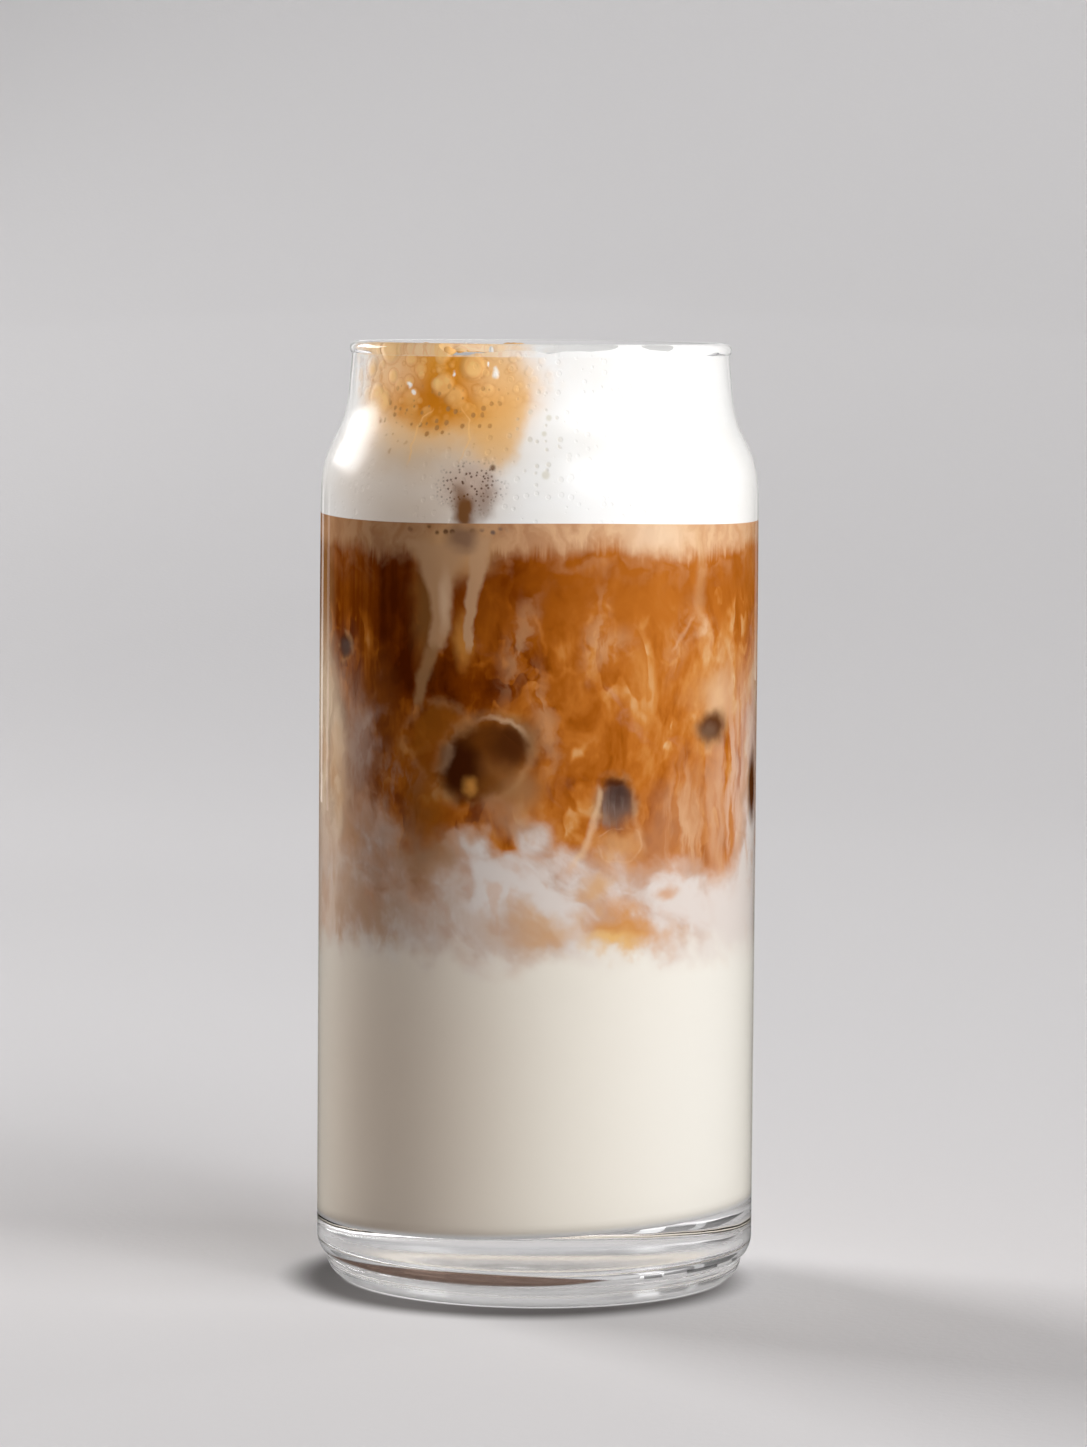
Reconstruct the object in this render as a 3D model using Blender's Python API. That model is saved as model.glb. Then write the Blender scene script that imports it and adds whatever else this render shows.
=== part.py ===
"""Iced latte in a can-shaped drinking glass, built as five solids.

The glass stands on z = 0 with its axis on Z. +X is the viewer's right, and the viewer looks
along +Y. The contents lie on each other from the floor of the glass to just under its lip:
milk, coffee, milk foam, and a pool of espresso crema sunk in the foam beside the wall.
"""

import math

import bmesh
import bpy
from mathutils import Matrix, Vector, noise

# The glass, in metres
GLASS_HEIGHT = 0.1540
BODY_RADIUS = 0.0360
NECK_RADIUS = 0.0312
WALL = 0.0022
SHOULDER_MIDDLE = 0.1382
SHOULDER_SOFTNESS = 0.0024
SHOULDER_REACH = 0.0105
LIP_BEAD_RADIUS = 0.00125
LIP_BEAD_STARTS_DEG = -40.0

# Its base: a foot ring to stand on, a groove above it, and a rounded heel
FOOT_INNER_RADIUS = 0.0256
FOOT_OUTER_RADIUS = 0.0276
FOOT_WIDEST_RADIUS = 0.0338
FOOT_HEIGHT = 0.0036
GROOVE_RADIUS = 0.0335
GROOVE_HEIGHT = 0.0042
HEEL_HEIGHT = 0.0058
PUNT_RISE = 0.0018

# The inside: the floor is thicker on the viewer's right, as the mould left it
FLOOR_HEIGHT = 0.0116
FLOOR_CORNER_RADIUS = 0.0026
FLOOR_SLOPE = 0.048
FLOOR_FADE = 0.020

# The drink. Neighbouring solids keep this gap
GAP = 0.0003
MIX_HEIGHT = 0.0620
BILLOW_FADE = 0.030
BILLOWS = ((2, 0.0056, 10.0), (5, 0.0024, 38.0), (9, 0.0012, 5.0))
FOAM_LINE = 0.1256
FOAM_LINE_SLOPE = -0.006
FOAM_LINE_FADE = 0.004
FOAM_TOP = 0.1517
FOAM_TOP_FADE = 0.004
FOAM_RELIEF = 0.0005
FOAM_LUMP = 0.008

# The crema, by its bearing from the viewer's side of the axis
CREMA_BEARING_DEG = -42.0
CREMA_CENTRE_RADIUS = 0.0245
CREMA_CENTRE_HEIGHT = 0.1495
CREMA_HALF_WIDTH = 0.0178
CREMA_HALF_DEPTH = 0.0125
CREMA_HALF_HEIGHT = 0.0145
CREMA_LUMP = 0.010
CREMA_RAGGED = 0.0011
BUBBLE_COUNT = 26
BUBBLE_RADII = (0.0009, 0.0021)
BUBBLE_SHARE_ABOVE = 0.30
GOLDEN_ANGLE = math.pi * (3.0 - math.sqrt(5.0))

# Facets
SEGMENTS = 64
SHOULDER_ROWS = 9
LIP_ROWS = 8
CORNER_ROWS = 3
BODY_ROWS = (0.032, 0.064, 0.096)
MIX_ROWS = (0.8, 0.45, 0.0)

FRONT_BEARING = -math.pi / 2


def clear_scene():
    for obj in list(bpy.data.objects):
        bpy.data.objects.remove(obj, do_unlink=True)


def smoothstep(t):
    t = min(max(t, 0.0), 1.0)
    return t * t * (3.0 - 2.0 * t)


def steps(first, last, count):
    """Evenly spaced values from first to last, both included."""
    return [first + (last - first) * i / (count - 1) for i in range(count)]


def outer_radius(z):
    """The outside of the glass: a straight body, an S-curved shoulder and a straight neck."""
    rise = 1.0 / (1.0 + math.exp((SHOULDER_MIDDLE - z) / SHOULDER_SOFTNESS))
    return BODY_RADIUS + (NECK_RADIUS - BODY_RADIUS) * rise


def shoulder(gap):
    """The shoulder's rows, from the body up to the neck, drawn in by a gap or a wall."""
    rows = steps(SHOULDER_MIDDLE - SHOULDER_REACH, SHOULDER_MIDDLE + SHOULDER_REACH, SHOULDER_ROWS)
    return [(outer_radius(z) - gap, z) for z in rows]


def quarter_round(start, end, count):
    """Points after start on an arc that leaves start level and reaches end upright."""
    (r0, z0), (r1, z1) = start, end
    turns = steps(0.0, math.pi / 2, count + 1)[1:]
    return [(r0 + (r1 - r0) * math.sin(t), z0 + (z1 - z0) * (1.0 - math.cos(t))) for t in turns]


def inner_floor(gap):
    """The floor of the glass from its centre to where the wall stands upright."""
    floor = FLOOR_HEIGHT + gap
    wall = BODY_RADIUS - WALL - gap
    corner_start = (wall - FLOOR_CORNER_RADIUS, floor)
    corner_end = (wall, floor + FLOOR_CORNER_RADIUS)
    profile = [(0.0, floor), (0.5 * wall, floor), corner_start]
    return profile + quarter_round(corner_start, corner_end, CORNER_ROWS)


def glass_profile():
    """The section of the glass, from the middle of its underside round to its inner floor."""
    profile = [(r, PUNT_RISE * (1.0 - (r / FOOT_INNER_RADIUS) ** 2))
               for r in steps(0.0, FOOT_INNER_RADIUS, 4)]
    foot = (FOOT_OUTER_RADIUS, 0.0)
    profile.append(foot)
    profile += quarter_round(foot, (FOOT_WIDEST_RADIUS, FOOT_HEIGHT), 4)
    groove = (GROOVE_RADIUS, GROOVE_HEIGHT)
    profile.append(groove)
    profile += quarter_round(groove, (BODY_RADIUS, HEEL_HEIGHT), 4)
    profile += [(BODY_RADIUS, z) for z in BODY_ROWS]
    profile += shoulder(0.0)
    profile += lip_profile()
    profile += reversed(shoulder(WALL))
    profile += [(BODY_RADIUS - WALL, z) for z in reversed(BODY_ROWS)]
    profile += reversed(inner_floor(0.0))
    return profile


def lip_profile():
    """The rounded bead of the lip, from its outside over the top to the inside."""
    bead_centre = NECK_RADIUS - WALL + LIP_BEAD_RADIUS
    height = GLASS_HEIGHT - LIP_BEAD_RADIUS
    turns = steps(math.radians(LIP_BEAD_STARTS_DEG), math.pi, LIP_ROWS)
    return [(bead_centre + LIP_BEAD_RADIUS * math.cos(t), height + LIP_BEAD_RADIUS * math.sin(t))
            for t in turns]


def turned(profile):
    """A closed body turned from a section that starts and ends on the axis."""
    bm = bmesh.new()
    verts = [bm.verts.new((r, 0.0, z)) for r, z in profile]
    edges = [bm.edges.new(pair) for pair in zip(verts, verts[1:])]
    bmesh.ops.spin(bm, geom=verts + edges, cent=(0, 0, 0), axis=(0, 0, 1),
                   angle=2.0 * math.pi, steps=SEGMENTS, use_merge=True)
    bmesh.ops.remove_doubles(bm, verts=bm.verts, dist=1e-6)
    bmesh.ops.recalc_face_normals(bm, faces=bm.faces)
    return bm


def near(z, height, reach):
    """1 at a height, falling smoothly to 0 at a reach above and below it."""
    return 1.0 - smoothstep(abs(z - height) / reach)


def billow(x, y):
    """How far the milk swells up into the coffee: soft lobes round the wall, calm at the axis."""
    bearing = math.atan2(y, x) - FRONT_BEARING
    out = min(math.hypot(x, y) / BODY_RADIUS, 1.0) ** 2
    return out * sum(size * math.cos(lobes * (bearing - math.radians(at)))
                     for lobes, size, at in BILLOWS)


def foam_relief(x, y):
    """Soft lumps on top of the foam."""
    return FOAM_RELIEF * noise.noise(Vector((x, y, 0.0)) / FOAM_LUMP)


def settled(point):
    """Where a point inside the glass comes to lie, once floor, milk and foam are uneven."""
    x, y, z = point
    shift = FLOOR_SLOPE * x * near(z, FLOOR_HEIGHT, FLOOR_FADE)
    shift += billow(x, y) * near(z, MIX_HEIGHT, BILLOW_FADE)
    shift += FOAM_LINE_SLOPE * x * near(z, FOAM_LINE, FOAM_LINE_FADE)
    shift += foam_relief(x, y) * near(z, FOAM_TOP, FOAM_TOP_FADE)
    return Vector((x, y, z + shift))


def settle(bm):
    for vert in bm.verts:
        vert.co = settled(vert.co)


def material(name, colour, roughness, transmission=0.0):
    mat = bpy.data.materials.new(name)
    mat.use_nodes = True
    shader = mat.node_tree.nodes["Principled BSDF"]
    shader.inputs["Base Color"].default_value = (*colour, 1.0)
    shader.inputs["Roughness"].default_value = roughness
    shader.inputs["Transmission Weight"].default_value = transmission
    return mat


def as_object(name, bm, mat, crease_deg=40.0):
    mesh = bpy.data.meshes.new(name)
    bm.to_mesh(mesh)
    bm.free()
    mesh.materials.append(mat)
    mesh.shade_smooth()
    mesh.set_sharp_from_angle(angle=math.radians(crease_deg))
    obj = bpy.data.objects.new(name, mesh)
    bpy.context.scene.collection.objects.link(obj)
    return obj


def build_glass():
    bm = turned(glass_profile())
    inner_limit = BODY_RADIUS - 0.5 * WALL
    for vert in bm.verts:
        inside = math.hypot(vert.co.x, vert.co.y) < inner_limit and vert.co.z > HEEL_HEIGHT
        if inside and vert.co.z < FLOOR_HEIGHT + FLOOR_FADE:
            vert.co.z += FLOOR_SLOPE * vert.co.x * near(vert.co.z, FLOOR_HEIGHT, FLOOR_FADE)
    glass = material("clear_glass", (0.93, 0.95, 0.95), 0.03, transmission=1.0)
    return as_object("glass", bm, glass)


def build_milk():
    top = MIX_HEIGHT - GAP / 2
    wall = BODY_RADIUS - WALL - GAP
    profile = inner_floor(GAP)
    profile += [(wall, z) for z in (BODY_ROWS[0], 0.5 * (BODY_ROWS[0] + top), top)]
    profile += [(share * wall, top) for share in MIX_ROWS]
    bm = turned(profile)
    settle(bm)
    return as_object("milk_layer", bm, material("milk", (0.84, 0.80, 0.72), 0.35))


def build_coffee():
    bottom = MIX_HEIGHT + GAP / 2
    top = FOAM_LINE - GAP / 2
    wall = BODY_RADIUS - WALL - GAP
    profile = [(share * wall, bottom) for share in reversed(MIX_ROWS)]
    profile += [(wall, z) for z in (bottom, bottom + 0.5 * BILLOW_FADE, BODY_ROWS[2], top)]
    profile += [(0.5 * wall, top), (0.0, top)]
    bm = turned(profile)
    settle(bm)
    return as_object("coffee_layer", bm, material("coffee", (0.42, 0.17, 0.045), 0.3))


def foam_body():
    """The whole of the foam before the crema takes its place in it."""
    bottom = FOAM_LINE + GAP / 2
    neck = NECK_RADIUS - WALL - GAP
    wall = BODY_RADIUS - WALL - GAP
    profile = [(0.0, bottom), (0.5 * wall, bottom), (wall, bottom)]
    profile += shoulder(WALL + GAP)
    profile += [(share * neck, FOAM_TOP) for share in (1.0, 0.86, 0.70, 0.52, 0.34, 0.17, 0.0)]
    bm = turned(profile)
    settle(bm)
    return bm


def crema_frame():
    """The crema's place: its first axis runs along the wall, its second out from the axis."""
    bearing = math.radians(CREMA_BEARING_DEG) + FRONT_BEARING
    place = Vector((CREMA_CENTRE_RADIUS * math.cos(bearing),
                    CREMA_CENTRE_RADIUS * math.sin(bearing), CREMA_CENTRE_HEIGHT))
    return Matrix.Translation(place) @ Matrix.Rotation(bearing - math.pi / 2, 4, "Z")


def crema_blob(name, grow):
    """A ragged egg-shaped body that marks the crema off from the foam, grown by a margin."""
    bm = bmesh.new()
    bmesh.ops.create_uvsphere(bm, u_segments=32, v_segments=16, radius=1.0)
    size = Vector((CREMA_HALF_WIDTH, CREMA_HALF_DEPTH, CREMA_HALF_HEIGHT))
    frame = crema_frame()
    for vert in bm.verts:
        direction = vert.co.normalized()
        on_egg = Vector(a * b for a, b in zip(direction, size))
        ragged = CREMA_RAGGED * noise.noise(on_egg / CREMA_LUMP)
        vert.co = frame @ (on_egg + direction * (ragged + grow))
    blob = as_object(name, bm, material("crema_cutter", (1.0, 0.0, 0.0), 0.5))
    blob.hide_render = True
    blob.display_type = "WIRE"
    return blob


def cut(obj, cutter, operation):
    boolean = obj.modifiers.new(operation.lower(), "BOOLEAN")
    boolean.operation = operation
    boolean.object = cutter


def bubble_places():
    """Bubbles spread like sunflower seeds over the crema's top, the largest in the middle."""
    frame = crema_frame()
    small, large = BUBBLE_RADII
    for i in range(BUBBLE_COUNT):
        share = math.sqrt((i + 0.5) / BUBBLE_COUNT)
        along = 0.80 * CREMA_HALF_WIDTH * share * math.cos(i * GOLDEN_ANGLE)
        across = 0.62 * CREMA_HALF_DEPTH * share * math.sin(i * GOLDEN_ANGLE)
        at = frame @ Vector((along, across, 0.0))
        jitter = noise.noise(at / BUBBLE_RADII[1])
        radius = large + (small - large) * min(max(share + 0.5 * jitter, 0.0), 1.0)
        if math.hypot(at.x, at.y) + radius + 2 * GAP < NECK_RADIUS - WALL:
            height = FOAM_TOP + foam_relief(at.x, at.y) - radius * (1.0 - 2 * BUBBLE_SHARE_ABOVE)
            yield Vector((at.x, at.y, height)), radius


def build_bubbles():
    """The bubbles that the crema is joined with, as the objects of one collection."""
    bubbles = bpy.data.collections.new("crema_bubbles")
    for centre, radius in bubble_places():
        bm = bmesh.new()
        bmesh.ops.create_icosphere(bm, subdivisions=2, radius=radius,
                                   matrix=Matrix.Translation(centre))
        bubble = as_object("bubble", bm, material("bubble", (0.9, 0.6, 0.3), 0.2))
        bpy.context.scene.collection.objects.unlink(bubble)
        bubbles.objects.link(bubble)
    return bubbles


def apply_modifiers(obj):
    """Bakes the object's modifiers into its own mesh."""
    graph = bpy.context.evaluated_depsgraph_get()
    obj.data = bpy.data.meshes.new_from_object(obj.evaluated_get(graph))
    obj.modifiers.clear()


def build_foam_and_crema():
    foam = as_object("milk_foam", foam_body(), material("foam", (0.93, 0.91, 0.88), 0.6))
    crema = as_object("crema", foam_body(), material("crema", (0.72, 0.42, 0.16), 0.4))
    cut(crema, crema_blob("crema_edge", 0.0), "INTERSECT")
    cut(foam, crema_blob("crema_bed", GAP), "DIFFERENCE")
    bubbles = build_bubbles()
    bpy.context.scene.collection.children.link(bubbles)
    join = crema.modifiers.new("bubbles", "BOOLEAN")
    join.operation = "UNION"
    join.operand_type = "COLLECTION"
    join.collection = bubbles
    apply_modifiers(crema)
    for bubble in list(bubbles.objects):
        bpy.data.objects.remove(bubble, do_unlink=True)
    bpy.data.collections.remove(bubbles)
    return foam, crema


def main():
    clear_scene()
    build_glass()
    build_milk()
    build_coffee()
    build_foam_and_crema()


main()
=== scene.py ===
# %% [markdown]
# # An iced latte in its glass
# This lesson dresses the solids of an iced latte: milk at the bottom, coffee running into it,
# milk foam with a golden pool of crema on top, and a clear can-shaped glass round it all.
# The solids give the sizes and the places. Everything here is the finish: a smooth glass that
# bends light, drink that touches it with no air between, ice, bubbles and swirls.

# %% Load the frame
import math

import bpy
import numpy as np
from mathutils import Matrix, Vector, noise


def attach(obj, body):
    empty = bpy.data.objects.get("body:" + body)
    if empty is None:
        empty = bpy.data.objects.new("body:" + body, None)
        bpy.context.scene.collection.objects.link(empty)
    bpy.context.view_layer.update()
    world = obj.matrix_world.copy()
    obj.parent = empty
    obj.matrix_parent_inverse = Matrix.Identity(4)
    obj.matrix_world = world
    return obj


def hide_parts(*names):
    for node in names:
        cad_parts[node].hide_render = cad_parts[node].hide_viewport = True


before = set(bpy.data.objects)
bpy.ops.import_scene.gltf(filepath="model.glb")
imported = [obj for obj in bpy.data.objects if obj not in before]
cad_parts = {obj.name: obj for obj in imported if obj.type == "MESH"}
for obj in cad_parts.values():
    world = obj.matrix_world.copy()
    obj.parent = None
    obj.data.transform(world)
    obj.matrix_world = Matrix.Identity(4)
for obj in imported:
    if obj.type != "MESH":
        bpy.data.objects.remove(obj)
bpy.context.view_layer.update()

MM = 0.001

# %% [markdown]
# ## The camera
# The photograph was taken with a long lens from just above the lip, so the body's sides stay
# almost parallel and the lip is a thin ellipse. Fitting the glass's outline gave the place, and
# a small roll, because the picture leans by less than half a degree.

# %% Camera
CAMERA_AT = Vector((0.91, -906.7, 165.4)) * MM
CAMERA_AIM = Vector((0.91, 0.0, 91.35)) * MM
CAMERA_ROLL_DEG = 0.449
PHOTO_HEIGHT_PX = 1447
FOCAL_PX = 5530
SENSOR_MM = 36.0

bpy.ops.object.camera_add(location=CAMERA_AT)
camera = bpy.context.object
camera.name = "photo_camera"
camera.data.lens = FOCAL_PX / PHOTO_HEIGHT_PX * SENSOR_MM
camera.data.sensor_width = SENSOR_MM
looking = (CAMERA_AIM - CAMERA_AT).to_track_quat("-Z", "Y").to_matrix()
camera.rotation_euler = (looking @ Matrix.Rotation(math.radians(CAMERA_ROLL_DEG), 3, "Z")).to_euler()
bpy.context.scene.camera = camera
bpy.context.scene.view_settings.view_transform = "Standard"
print("lens", round(camera.data.lens, 1), "mm")

# %% [markdown]
# ## Studio
# A pale sweep of paper is floor and backdrop in one: a plane whose far edge is extruded up,
# with the fold beveled into a wide curve so that no line shows behind the glass.

# %% Helpers for modelling by hand
def to_mode(name):
    """Goes to OBJECT or EDIT mode."""
    bpy.ops.object.mode_set(mode=name)


def deselect():
    """Object mode with nothing selected."""
    if bpy.context.object and bpy.context.object.mode != "OBJECT":
        to_mode("OBJECT")
    bpy.ops.object.select_all(action="DESELECT")


def choose(piece):
    """Makes one piece the selected, active one."""
    deselect()
    piece.select_set(True)
    bpy.context.view_layer.objects.active = piece


def settle_place(piece):
    """Moves the piece's place into its mesh, so that its object sits at the origin."""
    choose(piece)
    bpy.ops.object.transform_apply(location=True, rotation=True, scale=True)


def add_modifier(piece, kind, **values):
    """Adds a modifier with its values and applies it."""
    choose(piece)
    modifier = piece.modifiers.new(kind.lower(), kind)
    for name, value in values.items():
        setattr(modifier, name, value)
    bpy.ops.object.modifier_apply(modifier=modifier.name)


def choose_edges(piece, rule):
    """In edit mode, selects the edges whose two ends both pass a rule."""
    bpy.ops.mesh.select_all(action="DESELECT")
    to_mode("OBJECT")
    for edge in piece.data.edges:
        edge.select = all(rule(piece.data.vertices[i].co) for i in edge.vertices)
    to_mode("EDIT")


# %% Sweep of paper
SWEEP_HALF_WIDTH = 2.2
SWEEP_FRONT = -1.2
SWEEP_BACK = 1.7
SWEEP_TOP = 2.4
SWEEP_BEND = 0.9

deselect()
bpy.ops.mesh.primitive_plane_add(size=2)
sweep = bpy.context.object
sweep.name = "paper_sweep"
sweep.scale = (SWEEP_HALF_WIDTH, (SWEEP_BACK - SWEEP_FRONT) / 2, 1)
sweep.location.y = (SWEEP_BACK + SWEEP_FRONT) / 2
settle_place(sweep)
to_mode("EDIT")
bpy.ops.mesh.select_mode(type="EDGE")
choose_edges(sweep, lambda end: end.y > SWEEP_BACK - MM)
bpy.ops.mesh.extrude_region_move(TRANSFORM_OT_translate={"value": (0, 0, SWEEP_TOP)})
choose_edges(sweep, lambda end: end.y > SWEEP_BACK - MM and end.z < MM)
bpy.ops.mesh.bevel(offset=SWEEP_BEND, offset_type="OFFSET", segments=24)
to_mode("OBJECT")
bpy.ops.object.shade_smooth()
sweep.visible_glossy = False
print("sweep faces", len(sweep.data.polygons))


# %% [markdown]
# The light in the photograph comes mostly from the right and the front, so the drink is bright on
# its right and tan on its left. A window behind on the left lights the left edge and throws the
# long soft shadow to the right. These lamps aren't mirrored in the glass, because the deep browns
# show that the front of the studio was dark. What the glass does mirror is placed on its own: a
# window that draws the white patch on the left shoulder, thin lamps for the rims, and a card at
# each side, which draws the pale line down each edge of the glass.

# %% Lamps
LAMP_AIM = (0, 0, 0.08)
WINDOW = (-130, 0.54, 1.35)


def soft_lamp(name, bearing_deg, height, distance, size, power, aim=LAMP_AIM, mirrored=False):
    """A rectangular lamp that faces its aim. Bearings count from the viewer's side to the right."""
    bearing = math.radians(bearing_deg)
    place = Vector((distance * math.sin(bearing), -distance * math.cos(bearing), height))
    bpy.ops.object.light_add(type="AREA", location=place)
    lamp = bpy.context.object
    lamp.name = name
    lamp.data.shape = "RECTANGLE"
    lamp.data.size, lamp.data.size_y = size
    lamp.data.energy = power
    lamp.rotation_euler = (Vector(aim) - place).to_track_quat("-Z", "Y").to_euler()
    lamp.visible_glossy = mirrored
    return lamp


def only_mirrored(lamp):
    """The glass mirrors this lamp, and it lights nothing."""
    lamp.visible_camera = False
    lamp.visible_diffuse = False
    lamp.visible_transmission = False


soft_lamp("right_lamp", 62, 0.75, 1.5, (1.1, 1.1), 19.5)
soft_lamp("front_lamp", 35, 0.9, 1.8, (1.2, 1.2), 23.5)
soft_lamp("backdrop_lamp", 130, 1.3, 1.4, (0.5, 0.5), 3.3, aim=(0.2, 1.7, 0.85))
window_lamp = soft_lamp("window_lamp", *WINDOW, (0.7, 0.42), 25, aim=(0, -0.5, 0.08))
window_lamp.visible_transmission = False
soft_lamp("left_rim_lamp", -144, 0.2, 1.3, (0.09, 0.5), 0.05, mirrored=True)
soft_lamp("left_back_lamp", -158, 0.2, 1.3, (0.13, 0.5), 0.13, mirrored=True)
soft_lamp("right_back_lamp", 160, 0.25, 1.3, (0.2, 0.5), 0.08, mirrored=True)
only_mirrored(soft_lamp("window_in_mirror", *WINDOW, (0.78, 0.42), 6.2, mirrored=True))
for bearing_deg in (-175, 175):
    only_mirrored(soft_lamp("edge_card", bearing_deg, 0.1, 1.3, (0.32, 1.4), 0.7, mirrored=True))
print("lamps", len(bpy.data.lights))

# %% Air of the studio
AIR_GREY = (0.6, 0.585, 0.59, 1)

air = bpy.data.worlds.new("studio_air")
bpy.context.scene.world = air
air.use_nodes = True
air.node_tree.nodes["Background"].inputs["Color"].default_value = AIR_GREY
air.node_tree.nodes["Background"].inputs["Strength"].default_value = 1
air.cycles_visibility.glossy = False
air.cycles_visibility.diffuse = False
print("air", AIR_GREY)


# %% [markdown]
# ## Nodes in short
# Every finish below is a node tree. These few helpers add a node to the tree that is being worked
# on, feed its inputs and hand back its output, so that a pattern reads like a formula.

# %% Node helpers
class Work:
    """The tree that is being worked on."""
    tree = None


def feed(socket, value):
    """Feeds a socket with another socket or with a plain value."""
    if isinstance(value, bpy.types.NodeSocket):
        Work.tree.links.new(value, socket)
    elif isinstance(value, (tuple, list)) and len(value) == 3 and socket.type == "RGBA":
        socket.default_value = (*value, 1)
    else:
        socket.default_value = value


def fill(node, inputs):
    """Feeds a node. inputs maps the names or numbers of its inputs to sockets or values."""
    for name, value in dict(inputs).items():
        feed(node.inputs[name], value)
    return node


def add(kind, inputs=(), **settings):
    """Adds a shader node with its settings and feeds it."""
    made = Work.tree.nodes.new("ShaderNode" + kind)
    for name, value in settings.items():
        setattr(made, name, value)
    return fill(made, inputs)


def maths(operation, *values):
    """One Math node."""
    return add("Math", enumerate(values), operation=operation).outputs[0]


def vector(operation, *values):
    """One Vector Math node that gives a vector."""
    return add("VectorMath", enumerate(values), operation=operation).outputs[0]


def xyz(place):
    """The three numbers of a place, as outputs named X, Y and Z."""
    return add("SeparateXYZ", {0: place}).outputs


def total(answer, *values):
    """The sum of several numbers."""
    for value in values:
        answer = maths("ADD", answer, value)
    return answer


def product(answer, *values):
    """The product of several numbers."""
    for value in values:
        answer = maths("MULTIPLY", answer, value)
    return answer


def less(first, second):
    """The first number less the second."""
    return maths("SUBTRACT", first, second)


def most(first, second):
    """The larger of two numbers."""
    return maths("MAXIMUM", first, second)


def gap(first, second):
    """How far two numbers are apart."""
    return maths("ABSOLUTE", less(first, second))


def scaled(place, *shares):
    """A place with each of its three numbers multiplied by a share."""
    return vector("MULTIPLY", place, shares)


def smooth(value, low, high, out_low=0, out_high=1):
    """Maps low..high to out_low..out_high along a smooth S, and holds it outside."""
    inputs = {"Value": value, "From Min": low, "From Max": high,
              "To Min": out_low, "To Max": out_high}
    return add("MapRange", inputs, interpolation_type="SMOOTHSTEP").outputs[0]


def noise_at(place, size_mm, detail=2, roughness=0.5):
    """Noise of a given size on a place in millimetres."""
    return add("TexNoise", {"Vector": place, "Scale": 1 / size_mm, "Detail": detail,
                            "Roughness": roughness}).outputs


def clouds(place, size_mm, detail=2, roughness=0.5):
    """The value of the noise."""
    return noise_at(place, size_mm, detail, roughness)["Fac"]


def eddy(place, size_mm, detail=2):
    """A push in any direction, from the three colours of the noise."""
    return vector("SUBTRACT", noise_at(place, size_mm, detail)["Color"], (0.5, 0.5, 0.5))


def pushed(place, size_mm, reach_mm, detail=2):
    """A place pushed about by eddies, as liquid is."""
    return vector("ADD", place, scaled(eddy(place, size_mm, detail), *[reach_mm] * 3))


def cells(place, size_mm, **settings):
    """A pattern of cells of a given size."""
    return add("TexVoronoi", {"Vector": place, "Scale": 1 / size_mm}, **settings).outputs


def rgb(colour):
    """The three numbers of a colour."""
    return add("SeparateColor", {0: colour}).outputs


def ramp(value, stops):
    """A colour ramp through (position, colour) stops."""
    made = add("ValToRGB", {"Fac": value})
    keys = made.color_ramp.elements
    while len(keys) < len(stops):
        keys.new(1)
    for key, (position, colour) in zip(keys, stops):
        key.position = position
        key.color = (*colour, 1)
    return made.outputs["Color"]


def mixed(share, first, second):
    """Two colours mixed by a share."""
    return add("Mix", {0: share, 6: first, 7: second}, data_type="RGBA").outputs[2]


def curve(value, points, low, high):
    """A curve through (value, result) points, with results between low and high."""
    first, last = points[0][0], points[-1][0]
    share = add("MapRange", {"Value": value, "From Min": first, "From Max": last}).outputs[0]
    made = add("FloatCurve", {"Value": share})
    line = made.mapping.curves[0]
    while len(line.points) < len(points):
        line.points.new(0.5, 0.5)
    for point, (at, result) in zip(line.points, points):
        point.location = ((at - first) / (last - first), (result - low) / (high - low))
    made.mapping.update()
    return add("MapRange", {"Value": made.outputs[0], "To Min": low, "To Max": high}).outputs[0]


def new_material(name):
    """A material and its Principled shader. The helpers then work in its tree."""
    made = bpy.data.materials.new(name)
    made.use_nodes = True
    Work.tree = made.node_tree
    return made, Work.tree.nodes["Principled BSDF"]


def new_group(name, **outputs):
    """A node group with its named outputs. The helpers then work in it."""
    Work.tree = bpy.data.node_groups.new(name, "ShaderNodeTree")
    for title, kind in outputs.items():
        Work.tree.interface.new_socket(title, in_out="OUTPUT", socket_type="NodeSocket" + kind)
    return Work.tree


def bump(height, strength, distance):
    """A normal that rises and falls with a height."""
    return add("Bump", {"Height": height, "Strength": strength, "Distance": distance}).outputs[0]


def place_mm():
    """The point on the object, in millimetres."""
    return scaled(add("TexCoord").outputs["Object"], 1000, 1000, 1000)


# %% Paper
PAPER_GREY = (0.675, 0.659, 0.664)
PAPER_TONE_AND_PAINTED_SHADE = (0.4, 0.39, 0.395)
PAPER_PAINTED_LIGHT = (0.88, 0.865, 0.87)
PAINTED_CONTACT_SHADOW = (0.07, 0.062, 0.058)
PAINTED_LIGHT_UNDER_GLASS = (0.88, 0.87, 0.87)
CONTACT_SHADOW_MIDDLE = (-3, -4, 0)
CONTACT_SHADOW_RADIUS = 40.5
FOOT_RADIUS = 32


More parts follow.
